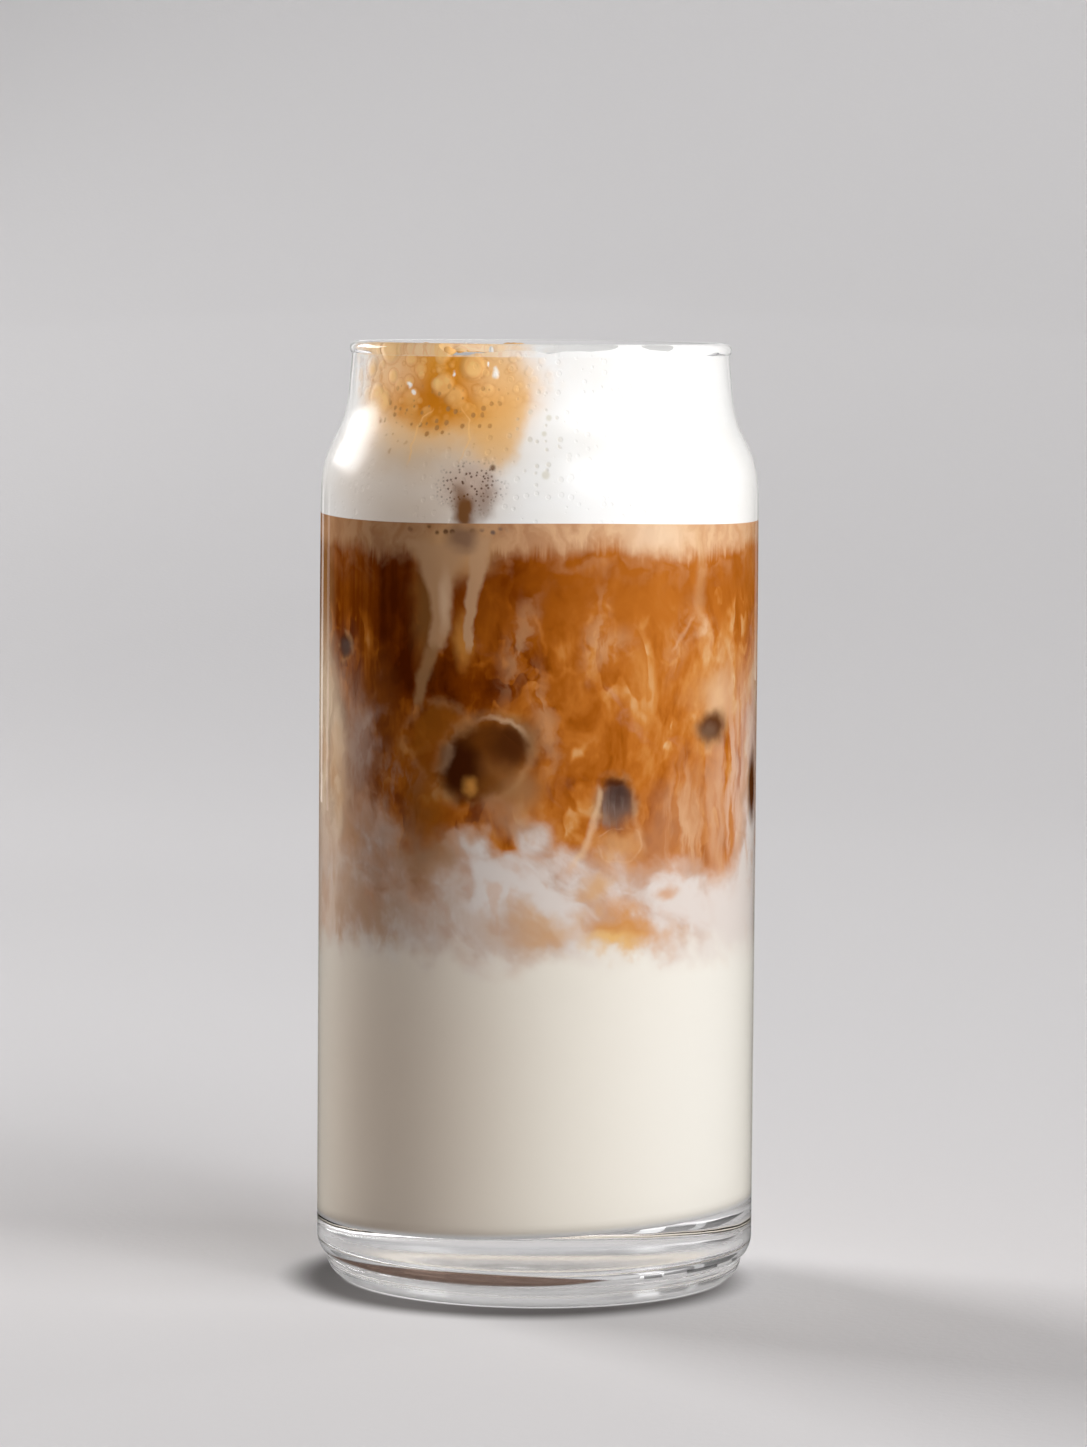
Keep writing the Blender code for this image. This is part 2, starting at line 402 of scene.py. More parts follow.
def paper_finish():
    """Pale grey paper with a faint unevenness and a fine tooth, with painted shade and light, a
    painted contact shadow and painted light under the glass.
    """
    made, shader = new_material("pale_paper")
    spot = place_mm()
    parts = xyz(spot)
    grain = clouds(spot, 1.6)
    shade = total(product(clouds(spot, 420, 3), 0.05), product(grain, 0.03))
    colour = mixed(shade, PAPER_GREY, PAPER_TONE_AND_PAINTED_SHADE)
    # painted shade: the paper darker behind on the left, near the window lamp
    painted_shade_behind_left = product(smooth(parts["Y"], 50, 600), smooth(parts["Y"], 1500, 950),
                          smooth(parts["X"], 250, -350))
    colour = mixed(product(painted_shade_behind_left, 0.85), colour, PAPER_TONE_AND_PAINTED_SHADE)
    # painted light: the paper lighter far back, where it curves up
    colour = mixed(smooth(parts["Y"], 1050, 1550, 0, 0.62), colour, PAPER_PAINTED_LIGHT)
    # painted contact shadow round the foot of the glass, off to the front left
    away = add("VectorMath", {0: spot, 1: CONTACT_SHADOW_MIDDLE}, operation="DISTANCE").outputs["Value"]
    colour = mixed(smooth(away, CONTACT_SHADOW_RADIUS, FOOT_RADIUS, 0, 0.9), colour, PAINTED_CONTACT_SHADOW)
    # painted light on the paper under the glass
    axis = add("VectorMath", {0: spot}, operation="LENGTH").outputs["Value"]
    colour = mixed(smooth(axis, FOOT_RADIUS + 0.5, FOOT_RADIUS - 1), colour, PAINTED_LIGHT_UNDER_GLASS)
    fill(shader, {"Base Color": colour, "Roughness": 0.85, "Normal": bump(grain, 0.15, 0.0004)})
    return made


sweep.data.materials.append(paper_finish())
print("paper nodes", len(Work.tree.nodes))

# %% [markdown]
# ## The glass
# A pressed drinking glass is a turned shape, so it is made as on a lathe: one vertex is extruded
# along half of its section and the section is spun round the axis. The section is drawn coarse
# and its corners are cut twice, which leaves the soft edges of pressed glass. The floor inside
# slopes, as it does in the photograph, where the base is thicker on the right.

# %% The section of the glass, in millimetres
HEIGHT = 154
BODY_RADIUS = 36
NECK_RADIUS = 31.2
WALL = 2.2
SHOULDER_MIDDLE = 138.2
SHOULDER_SOFTNESS = 2.4
SHOULDER_REACH = 10.5
LIP_BEAD_RADIUS = 1.15
FLOOR_HEIGHT = 11.6
FLOOR_CORNER = 2.6
FLOOR_SLOPE = 0.048
FLOOR_FADE = 20
TURNS = 160


def outer_radius(z):
    """The outside of the body, shoulder and neck."""
    rise = 1 / (1 + math.exp((SHOULDER_MIDDLE - z) / SHOULDER_SOFTNESS))
    return BODY_RADIUS + (NECK_RADIUS - BODY_RADIUS) * rise


def between(first, last, count):
    """Evenly spaced values, both ends included."""
    return [first + (last - first) * i / (count - 1) for i in range(count)]


def quarter_round(start, end, count):
    """Points after start on an arc that leaves start level and reaches end upright."""
    (r0, z0), (r1, z1) = start, end
    turns = between(0, math.pi / 2, count + 1)[1:]
    return [(r0 + (r1 - r0) * math.sin(t), z0 + (z1 - z0) * (1 - math.cos(t))) for t in turns]


def wall_points(inset, low, high, count):
    """Points up the wall at a distance inside its outer face."""
    return [(outer_radius(z) - inset, z) for z in between(low, high, count)]


def glass_section():
    """From the middle of the underside, up the outside, over the lip and down to the floor."""
    section = [(r, 1.8 * (1 - (r / 28.4) ** 2)) for r in between(0, 28.4, 7)]
    section += [(30.6, 0)] + quarter_round((30.6, 0), (34.3, 3.4), 7)
    section += [(33.9, 3.8)] + quarter_round((33.9, 3.8), (BODY_RADIUS, 7.2), 6)
    section += wall_points(0, 10, SHOULDER_MIDDLE - SHOULDER_REACH, 8)
    section += wall_points(0, SHOULDER_MIDDLE - SHOULDER_REACH + 1, 148, 18)
    middle = NECK_RADIUS - WALL + LIP_BEAD_RADIUS
    for turn in between(math.radians(-50), math.pi, 15):
        section.append((middle + LIP_BEAD_RADIUS * math.cos(turn),
                        HEIGHT - LIP_BEAD_RADIUS + LIP_BEAD_RADIUS * math.sin(turn)))
    section += reversed(wall_points(WALL, SHOULDER_MIDDLE - SHOULDER_REACH + 1, 150, 18))
    section += reversed(wall_points(WALL, 22, SHOULDER_MIDDLE - SHOULDER_REACH, 7))
    section += reversed(floor_points(BODY_RADIUS - WALL, FLOOR_HEIGHT))
    return section


def floor_points(radius, floor):
    """The inner floor, from its middle out and up its rounded corner."""
    start = (radius - FLOOR_CORNER, floor)
    flat = [(r, floor) for r in between(0, radius - FLOOR_CORNER, 6)]
    return flat + quarter_round(start, (radius, floor + FLOOR_CORNER), 5)


def corners_cut(section, rounds=2):
    """The same line with every corner cut off a quarter of the way, twice over."""
    for _ in range(rounds):
        cut = [section[0]]
        for (r0, z0), (r1, z1) in zip(section, section[1:]):
            cut += [(0.75 * r0 + 0.25 * r1, 0.75 * z0 + 0.25 * z1),
                    (0.25 * r0 + 0.75 * r1, 0.25 * z0 + 0.75 * z1)]
        section = cut + [section[-1]]
    return section


# %% Turning on the lathe
def turned(name, section, turns=TURNS):
    """A closed body: one vertex extruded along the section, then spun round the axis."""
    deselect()
    points = [Vector((r, 0, z)) * MM for r, z in section]
    bpy.ops.mesh.primitive_plane_add(size=MM, location=points[0])
    piece = bpy.context.object
    piece.name = name
    settle_place(piece)
    to_mode("EDIT")
    bpy.ops.mesh.select_mode(type="VERT")
    bpy.ops.mesh.select_all(action="SELECT")
    bpy.ops.mesh.merge(type="CENTER")
    for here, there in zip(points, points[1:]):
        bpy.ops.mesh.extrude_region_move(TRANSFORM_OT_translate={"value": there - here})
    bpy.ops.mesh.select_all(action="SELECT")
    bpy.ops.mesh.spin(steps=turns, angle=2 * math.pi, center=(0, 0, 0), axis=(0, 0, 1))
    bpy.ops.mesh.select_all(action="SELECT")
    bpy.ops.mesh.remove_doubles(threshold=0.003 * MM)
    bpy.ops.mesh.normals_make_consistent(inside=False)
    to_mode("OBJECT")
    bpy.ops.object.shade_smooth_by_angle(angle=math.radians(40))
    return piece


def moved(piece, rule):
    """Moves each vertex by a rule from its place in millimetres to its lift in millimetres."""
    places = np.empty(len(piece.data.vertices) * 3)
    piece.data.vertices.foreach_get("co", places)
    places = places.reshape(-1, 3)
    places[:, 2] += [rule(x / MM, y / MM, z / MM) * MM for x, y, z in places]
    piece.data.vertices.foreach_set("co", places.ravel())
    piece.data.update()


def near(z, height, reach):
    """1 at a height, falling smoothly to 0 at a reach above and below it."""
    t = min(abs(z - height) / reach, 1)
    return 1 - t * t * (3 - 2 * t)


def floor_lift(x, y, z):
    """The slope of the inner floor, which fades out up the wall."""
    return FLOOR_SLOPE * x * near(z, FLOOR_HEIGHT, FLOOR_FADE)


glass = turned("drinking_glass", corners_cut(glass_section()))
moved(glass, lambda x, y, z: floor_lift(x, y, z)
      if math.hypot(x, y) < BODY_RADIUS - WALL / 2 and z > 6 else 0)
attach(glass, "root")
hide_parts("glass")
print("glass faces", len(glass.data.polygons))


# %% [markdown]
# Clear glass has next to no colour, and all of its look is bent light and mirrored lamps. Lamps
# would cast a black shadow through it here, so shadow rays and soft bounced rays pass straight
# through, a little dimmed in the thick base, as real glass lets most of the light reach the drink.
# A breath of mist on the shoulder gives the mirrored window soft edges. The dark band and dashes
# low in the base are a painted reflection of the edge of a table, mirrored there in the photograph.

# %% Glass finish
CLEAR = (0.985, 0.99, 0.99)
REFLECTION_BAND_DARK = (0.055, 0.024, 0.014)
REFLECTION_BAND_BROWN = (0.15, 0.078, 0.052)
REFLECTION_DASH_GREY = (0.1, 0.1, 0.1)
BAND_HEIGHT = 4.9
BAND_MIDDLE = -11
BAND_HALF_LENGTH = 24
BAND_HALF_WIDTH = 1.25
FOOT_MIST = 0.28
SHOULDER_MIST = 0.255


def glass_finish():
    """Clear glass that lamps shine through, with a painted reflection low in its base."""
    made, shader = new_material("clear_glass")
    spot = place_mm()
    parts = xyz(spot)
    height = parts["Z"]
    # painted reflection of a table edge: a dark brown band low in the base, grey dashes to its right
    off = gap(height, BAND_HEIGHT)
    along_band = maths("DIVIDE", less(parts["X"], BAND_MIDDLE), BAND_HALF_LENGTH)
    width = product(less(1, product(along_band, along_band)), BAND_HALF_WIDTH)
    front = smooth(parts["Y"], -6, -9)
    reflection_band = product(smooth(less(width, off), -0.1, 0.2), front)
    reflection_dashes = smooth(clouds(scaled(spot, 1, 0, 0.2), 2.2, 1), 0.5, 0.56)
    reflection_dashes = product(reflection_dashes, smooth(off, 0.45, 0.2), front, smooth(parts["X"], 11, 13))
    grain = clouds(scaled(spot, 0.1, 0.1, 1), 0.35)
    colour = mixed(reflection_band, CLEAR, mixed(grain, REFLECTION_BAND_DARK, REFLECTION_BAND_BROWN))
    rough = total(smooth(height, 1.9, 3, FOOT_MIST, 0), smooth(height, 126, 133, 0, SHOULDER_MIST),
                  smooth(height, 142, 150, 0, -SHOULDER_MIST))
    fill(shader, {"IOR": 1.5, "Transmission Weight": 1, "Roughness": rough,
                  "Base Color": mixed(reflection_dashes, colour, REFLECTION_DASH_GREY),
                  "Normal": bump(clouds(spot, 9, 1), 0.25, 0.0002)})
    dim = smooth(height, 2, 12, 0.97, 0.96)
    tint = add("CombineColor", {0: dim, 1: dim, 2: dim}).outputs[0]
    clear = add("BsdfTransparent", {"Color": tint}).outputs[0]
    rays = add("LightPath").outputs
    surface = shader.outputs[0]
    for kind in ("Is Diffuse Ray", "Is Shadow Ray"):
        surface = add("MixShader", {0: rays[kind], 1: surface, 2: clear}).outputs[0]
    fill(Work.tree.nodes["Material Output"], {"Surface": surface})
    return made


glass.data.materials.append(glass_finish())
print("glass finish nodes", len(Work.tree.nodes))

# %% [markdown]
# ## Milk and coffee
# The two liquids touch the glass, so each body reaches just into the wall and no air shows
# between them. The milk swells up into the coffee in soft lobes; the fine swirls where they run
# into each other are thinner than any solid, so they are colour. Both bodies use one pattern, and
# so the colours run on across the seam.

# %% Bodies of milk and coffee
REACH = 0.15
MIX_HEIGHT = 62
BILLOW_FADE = 30
BILLOWS = ((2, 5.6, 10), (5, 2.4, 38), (9, 1.2, 5))
FOAM_LINE = 125.6
FOAM_LINE_SLOPE = -0.006
FOAM_LINE_FADE = 4


def billow_lift(x, y, z):
    """How far the milk swells into the coffee: soft lobes round the wall, calm at the axis."""
    bearing = math.atan2(x, -y)
    out = min(math.hypot(x, y) / BODY_RADIUS, 1) ** 2
    lobes = sum(size * math.cos(count * (bearing - math.radians(at))) for count, size, at in BILLOWS)
    return out * lobes * near(z, MIX_HEIGHT, BILLOW_FADE)


def foam_line_lift(x, y, z):
    """The foam's underside leans a little and waves by a few tenths of a millimetre."""
    wave = 0.25 * math.sin(3 * math.atan2(x, -y) + 0.9)
    return (FOAM_LINE_SLOPE * x + wave) * near(z, FOAM_LINE, FOAM_LINE_FADE)


def all_lifts(x, y, z):
    """Every unevenness of the drink at once."""
    return floor_lift(x, y, z) + billow_lift(x, y, z) + foam_line_lift(x, y, z)


drink_radius = BODY_RADIUS - WALL + REACH
section = floor_points(drink_radius, FLOOR_HEIGHT - REACH)
section += [(drink_radius, z) for z in between(18, MIX_HEIGHT, 24)]
section += [(share * drink_radius, MIX_HEIGHT) for share in between(0.96, 0, 12)]
milk = turned("milk", section)
moved(milk, all_lifts)
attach(milk, "root")
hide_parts("milk_layer")

section = [(share * drink_radius, MIX_HEIGHT) for share in between(0, 0.96, 12)]
section += [(drink_radius, z) for z in between(MIX_HEIGHT, FOAM_LINE, 40)]
section += [(share * drink_radius, FOAM_LINE) for share in between(0.96, 0, 8)]
coffee = turned("coffee", section)
moved(coffee, all_lifts)
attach(coffee, "root")
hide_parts("coffee_layer")
print("milk", len(milk.data.polygons), "coffee", len(coffee.data.polygons), "faces")


# %% [markdown]
# Coffee and milk are painted the way a painter would do it. A ground of marbled amber comes
# first. Over it go wisps of lighter coffee, soft clouds where the milk rises, dark windows where
# ice touches the wall, and the pale drips under the foam. Every mask is pushed about by eddies of
# several sizes, so that no edge is straight, and the pattern is worked out in three dimensions,
# so that it closes behind the glass without a seam. A place on the wall is a bearing from the
# front, in degrees to the right, and a height in millimetres.

# %% Places on the wall
def along(bearing_deg):
    """A bearing as millimetres along the wall."""
    return math.radians(bearing_deg) * drink_radius


def wall_place(spot):
    """How far round the wall from the front, and the height, as a flat place in millimetres."""
    parts = xyz(spot)
    turn = maths("ARCTAN2", parts["X"], product(parts["Y"], -1))
    around = product(turn, drink_radius)
    return add("CombineXYZ", {0: around, 1: parts["Z"]}).outputs[0]


def stirred(place, *eddies):
    """A flat place pushed along the wall and up it by eddies, each with its reach."""
    for push, reach in eddies:
        place = vector("ADD", place, scaled(push, reach, 1.35 * reach, 0))
    return place


def oval(place, bearing, height, half_width, half_height, strength=1, soft=0.9, lean=0):
    """A mask that fills an oval on the wall and is at half strength along its outline."""
    grow = 1 / (1 - soft / 2)
    inputs = {"Vector": place, "Location": (along(bearing), height, 0),
              "Rotation": (0, 0, math.radians(-lean)),
              "Scale": (grow * half_width, grow * half_height, 1)}
    inside = add("Mapping", inputs, vector_type="TEXTURE").outputs[0]
    depth = add("TexGradient", {0: inside}, gradient_type="SPHERICAL").outputs["Fac"]
    return smooth(depth, 0, soft, 0, strength)


def outline(mask, width):
    """A thin line along the outline of a mask."""
    return smooth(gap(mask, 0.5), width, 0)


def run(place, points, soft, fade=1.2):
    """A mask along a run down the wall, through (height, bearing, half width) points."""
    points = sorted(points)
    parts = xyz(place)
    centres = [(z, along(bearing)) for z, bearing, width in points]
    widths = [(z, width) for z, bearing, width in points]
    low, high = min(c for z, c in centres) - 0.5, max(c for z, c in centres) + 0.5
    middle = curve(parts["Y"], centres, low, high)
    width = curve(parts["Y"], widths, 0, max(w for z, w in widths))
    share = maths("DIVIDE", gap(parts["X"], middle), most(width, 0.02))
    inside = smooth(share, 1 + soft, 1 - soft)
    rise = smooth(parts["Y"], points[0][0] - fade, points[0][0] + fade)
    fall = smooth(parts["Y"], points[-1][0] + fade, points[-1][0] - fade)
    return product(inside, product(rise, fall))


class Painting:
    """A colour that is painted over, mask by mask."""

    def __init__(self, ground):
        self.colour = ground

    def cover(self, colour, *masks):
        """Covers what is there with a colour, through the product of some masks."""
        self.colour = mixed(product(*masks), self.colour, colour)

    def dab(self, place, colour, *where, through=None):
        """Covers one oval. where is what oval() takes after its place."""
        masks = [oval(place, *where), through]
        self.cover(colour, *[mask for mask in masks if mask is not None])

    def dabs(self, place, rows, through=None):
        """Covers one oval after another. Each row is a colour and where it goes."""
        for colour, *where in rows:
            self.dab(place, colour, *where, through=through)


# %% Colours of the drink
ALMOST_BLACK = (0.045, 0.009, 0.0016)
DARK_ICE = (0.082, 0.021, 0.003)
ICE_GREY = (0.15, 0.11, 0.095)
RED_BROWN = (0.215, 0.042, 0.001)
GOLDEN = (0.56, 0.235, 0.048)
TAN = (0.59, 0.33, 0.15)
PEACH = (0.74, 0.5, 0.305)
PINK_TAN = (0.56, 0.3, 0.165)
TAUPE = (0.33, 0.19, 0.12)
LAVENDER_GREY = (0.42, 0.29, 0.23)
LAVENDER_WHITE = (0.61, 0.49, 0.43)
CREAM_WHITE = (0.66, 0.6, 0.56)
COLD_MILK = (0.745, 0.688, 0.6)
PAINTED_LIT_MILK = (0.75, 0.725, 0.67)
TINTED_AND_SHADED_MILK = (0.695, 0.575, 0.465)
WISP = (0.66, 0.41, 0.22)
PAINTED_LIGHT_UNDERSIDE = (0.93, 0.925, 0.92)

AMBER_SCALE = [
    (0, (0.085, 0.012, 0.0005)),
    (0.25, (0.18, 0.034, 0.0008)),
    (0.42, (0.33, 0.084, 0.0055)),
    (0.56, (0.44, 0.132, 0.016)),
    (0.7, (0.53, 0.205, 0.045)),
    (0.85, (0.61, 0.33, 0.135)),
    (1, (0.7, 0.47, 0.27)),
]

# %% Ice against the wall
# Where each cube touches the wall: bearing, height, half width, half height and lean of its window.
ICE_WINDOWS = [
    (-14.6, 88.2, 7.7, 5.7, -35),
    (20.9, 82.5, 2.8, 3.1, 0),
    (53.8, 92.6, 3.6, 2.5, -20),
    (-62.6, 105.1, 1.5, 1.5, 0),
    (79, 82, 2.2, 5.6, 0),
    (118, 96, 4.6, 4.2, 25),
    (151, 86, 3, 3.4, 0),
    (-154, 99, 5.4, 4.6, 20),
    (-112, 88, 4.2, 5.2, -15),
]


# %% The ground of marbled coffee
def veils(place, size_mm, count):
    """Thin veils of milk: each is bright along one edge and fades away behind it."""
    step = maths("FRACT", product(clouds(place, size_mm, 3), count))
    return most(smooth(step, 0.5, 0), smooth(step, 0.92, 1))


def changed(value, rows):
    """A number raised or lowered in ovals of the wall. Each row ends with the change."""
    for place, *where in rows:
        value = total(value, oval(place, *where))
    return value


def ground(spot, wall, calm, loose, rough_height):
    """Marbled amber, deeper at the top left and painted lighter towards the lit right, with plumes of
    lighter coffee rising through it.
    """
    tall = scaled(spot, 1, 1, 0.55)
    folded = pushed(pushed(tall, 15, 15, 1), 4.6, 5, 3)
    grain = clouds(pushed(tall, 3, 2.6), 2.1, 3, 0.6)
    marble = total(clouds(folded, 6.2, 3, 0.55), product(grain, 0.3), -0.65)
    broad = less(clouds(folded, 26, 1), 0.5)

    plume = smooth(rough_height, 108.5, 103)
    for bearing, top, half_width in ((-4, 105.5, 3.3), (16.5, 106.5, 2.7), (46.5, 105, 3.6),
                                     (94, 106, 4), (127, 104, 5), (160, 107, 4),
                                     (-141, 105, 5), (-98, 106, 4)):
        plume = most(plume, oval(calm, bearing, top, half_width, 6.6, 1, 0.55))

    calmer = smooth(xyz(wall)["Y"], 112, 104, 0.3, 0.95)
    # the tone rises towards the right: painted light on the lit side
    tone = total(0.4, product(xyz(spot)["X"], 0.0062), product(marble, calmer),
                 product(broad, 0.4), product(plume, 0.04))
    tone = changed(tone, [
        (loose, -9, 113.5, 7, 6, -0.09), (loose, -24, 101.5, 7, 5, -0.16),
        (calm, -58, 112, 5, 8, 0.12), (calm, 8, 114.5, 9, 6, 0.06),
        (calm, -14, 103, 6, 5, -0.13), (calm, -32, 97.5, 5, 4, -0.2),
        (calm, 2, 97, 9, 9, -0.12), (calm, 20, 88, 6, 7, -0.06),
        (loose, 66, 113, 12, 8, -0.1), (loose, 30, 103, 6, 6, -0.03),
        (loose, 104, 113, 12, 8, -0.1), (loose, -120, 112, 14, 8, -0.12)])
    column = ((121.5, -42.5, 3.3), (112, -42, 3.6), (104, -41.5, 3.8), (98, -40, 3))
    streak = less(clouds(scaled(spot, 1, 1, 0.06), 1.7, 3), 0.5)
    tone = total(tone, product(run(calm, column, 0.4, 3), -0.24),
                 product(streak, oval(wall, -52, 110, 19, 19, 0.38, 0.8)))

    patchy = smooth(clouds(spot, 6.5), 0.44, 0.6)
    rising = oval(wall, 18, 105, 30, 11, 0.5)
    veil = product(veils(pushed(pushed(tall, 15, 9, 1), 2.6, 1.9), 12, 5), most(patchy, rising),
                   smooth(rough_height, 114, 108, 0.12, 1))
    fine_veil = product(veils(pushed(pushed(tall, 9, 6, 1), 2, 1.2), 6, 3),
                        smooth(marble, 0.06, -0.06), smooth(rough_height, 116, 110, 0.1, 1))
    edge = product(outline(plume, 0.3), smooth(clouds(spot, 4), 0.4, 0.6))
    tone = total(tone, product(veil, 0.27), product(edge, 0.11), product(fine_veil, 0.15))
    return ramp(tone, AMBER_SCALE)


# %% Clouds where the milk rises
def cloud_layer(paint, spot, wall, calm, loose):
    """Haze down the left, soft lavender clouds over the milk, and the milk itself, all with painted
    light and shade.
    """
    streak = smooth(clouds(scaled(loose, 1, 0.16, 1), 3.2), 0.34, 0.64, 0.62, 1)
    wisps = clouds(pushed(scaled(spot, 1, 1, 0.5), 4, 4), 2.8, 3, 0.6)
    soft_wisps = smooth(wisps, 0.34, 0.66, 0.45, 1)
    wisps = smooth(wisps, 0.4, 0.6)
    fibres = smooth(clouds(scaled(calm, 1, 0.14, 1), 1.9, 3), 0.38, 0.58)
    # left: dark column, a painted highlight down the edge and pale haze; right: tan haze round the
    # ice; back: soft streaks
    paint.dabs(calm, [
        ((0.4, 0.19, 0.065), -79, 112, 4.5, 14, 0.8),
        ((0.19, 0.05, 0.008), -48, 92, 4.4, 11, 0.75, 0.7)])
    paint.dab(calm, (0.44, 0.265, 0.175), -61, 85, 4.6, 16, 0.92, 0.8, through=soft_wisps)
    # painted light: the pale peach haze brightens the left edge
    paint.dab(calm, (0.85, 0.65, 0.455), -82, 82, 12, 25, 0.95, 0.5, through=streak)
    paint.dab(calm, LAVENDER_GREY, -56, 90, 2.8, 6, 0.7, through=soft_wisps)
    paint.dab(loose, TAUPE, -39, 83, 4, 5, 0.6, through=wisps)
    paint.dabs(loose, [
        ((0.42, 0.18, 0.08), 36, 76, 5, 6, 0.7),
        (TAN, 55, 97.5, 4.8, 4.4, 0.75)])
    paint.dab(calm, PEACH, 56.5, 97, 2.6, 3.2, 0.5)
    paint.dabs(calm, [
        (PEACH, 45, 78, 4, 8, 0.6),
        (PINK_TAN, 62, 86, 6, 13, 0.8),
        ((0.66, 0.44, 0.32), 66, 80, 4, 13, 0.6)], through=fibres)
    paint.dab(calm, LAVENDER_WHITE, 79, 80, 6.5, 20, 0.8, 0.8, through=streak)
    paint.dabs(loose, [
        (LAVENDER_GREY, -112, 84, 10, 15, 0.6),
        (PINK_TAN, 126, 88, 13, 12, 0.5),
        (TAUPE, -146, 80, 8, 12, 0.5)], through=streak)

    # the clouds: slanting, rolling puffs, denser towards the milk; painted shade lavender-grey,
    # painted light lavender-white and cream
    rough_height = xyz(loose)["Y"]
    parts = xyz(spot)
    slant = total(parts["Z"], product(parts["X"], 0.4))
    leaning = add("CombineXYZ", {0: parts["X"], 1: parts["Y"], 2: slant}).outputs[0]
    rolling = pushed(scaled(leaning, 0.8, 0.8, 1), 9, 8)
    puffs = total(clouds(pushed(rolling, 2.6, 1.6), 9, 4, 0.55),
                  product(smooth(rough_height, 82, 60), 0.52))
    puffs = changed(puffs, [(calm, *row) for row in (
        (-2, 76.2, 2.6, 2.2, 0.42), (-18, 75, 3.6, 2.2, 0.34), (-2, 69.2, 10.5, 4.4, 0.27),
        (46, 67.5, 4, 5, 0.04), (34, 67, 6, 3.6, 0.05), (78, 76, 5, 10, 0.4),
        (-32, 79, 3, 6.5, -0.4), (-9.5, 75, 1.7, 2, -0.4), (56, 76, 3, 7, -0.46),
        (25, 77, 7, 4, -0.18), (-52, 76, 6, 7, 0.3), (74, 65, 6, 7, 0.28))])
    cloud = smooth(puffs, 0.62, 1.1)
    depth = clouds(rolling, 6, 3)
    painted_lighting = mixed(smooth(depth, 0.4, 0.62), LAVENDER_GREY, LAVENDER_WHITE)
    painted_lighting = mixed(smooth(puffs, 0.8, 1.15), painted_lighting, CREAM_WHITE)
    paint.cover(PINK_TAN, smooth(puffs, 0.54, 0.86, 0, 0.75), smooth(rough_height, 92, 80))
    paint.cover(painted_lighting, cloud, 0.93)

    # coffee that shows between them
    paint.dabs(loose, [
        (TAUPE, -48, 72, 7, 8, 0.62),
        ((0.52, 0.25, 0.095), -68, 83, 2.6, 6, 0.65),
        ((0.5, 0.26, 0.12), -59, 73, 2.2, 5, 0.55),
        ((0.66, 0.52, 0.43), -50, 91, 2, 5, 0.45)], through=soft_wisps)
    paint.dab(loose, (0.38, 0.23, 0.135), -29, 72, 5, 4.6, 0.75)
    # the first is painted light: paler milk along the very left edge
    paint.dabs(calm, [
        ((0.7, 0.535, 0.42), -82, 66, 12, 13, 0.9, 0.6),
        (PINK_TAN, 55.5, 77, 2.6, 7.6, 0.85, 0.7)], through=streak)
    paint.dab(calm, (0.46, 0.2, 0.08), 46.5, 80, 3.2, 7, 0.8, through=soft_wisps)
    paint.cover(PINK_TAN, cloud, wisps, smooth(depth, 0.52, 0.4), 0.4)

    # the milk: tan on its left, tinted by coffee and painted darker as shade, and painted lighter on
    # its lit right
    level = total(product(rough_height, 0.45), product(xyz(calm)["Y"], 0.55),
                  product(less(depth, 0.5), 7))
    in_milk = smooth(level, 60, 53)
    paint.cover(COLD_MILK, in_milk)
    paint.dabs(wall, [
        (TINTED_AND_SHADED_MILK, -44, 34, 16, 42, 0.8, 1),
        (PAINTED_LIT_MILK, 58, 34, 22, 42, 0.8, 1)], through=in_milk)

    # coffee that lies on the milk
    paint.dabs(loose, [
        ((0.43, 0.265, 0.165), -48, 62.5, 7.5, 4, 0.9),
        ((0.5, 0.32, 0.21), -62, 64, 3.6, 6, 0.7, 0.8),
        ((0.5, 0.36, 0.275), -27, 62, 8, 4, 0.75)], through=soft_wisps)
    paint.dabs(loose, [
        ((0.52, 0.345, 0.24), -6, 61.5, 6, 3, 0.6),
        (TAN, 3, 61.8, 4, 2.4, 0.6)])
    paint.dab(calm, (0.67, 0.6, 0.555), 74, 62, 13, 6, 0.85)
    paint.dabs(loose, [
        (GOLDEN, 25, 60.4, 7, 3, 0.85, 0.8, 10),
        ((0.7, 0.42, 0.15), 20.5, 58.3, 4, 1.9, 0.85),
        (TAN, 16.5, 67.8, 3.6, 2, 0.8)])
    paint.dab(calm, PINK_TAN, 37.5, 66.3, 2, 0.9, 0.8)
    for bearing in (96, 121, 149, -151, -127, -96):
        paint.dab(loose, GOLDEN, bearing, 62 + 3 * math.sin(bearing), 4.6, 2.6, 0.6)


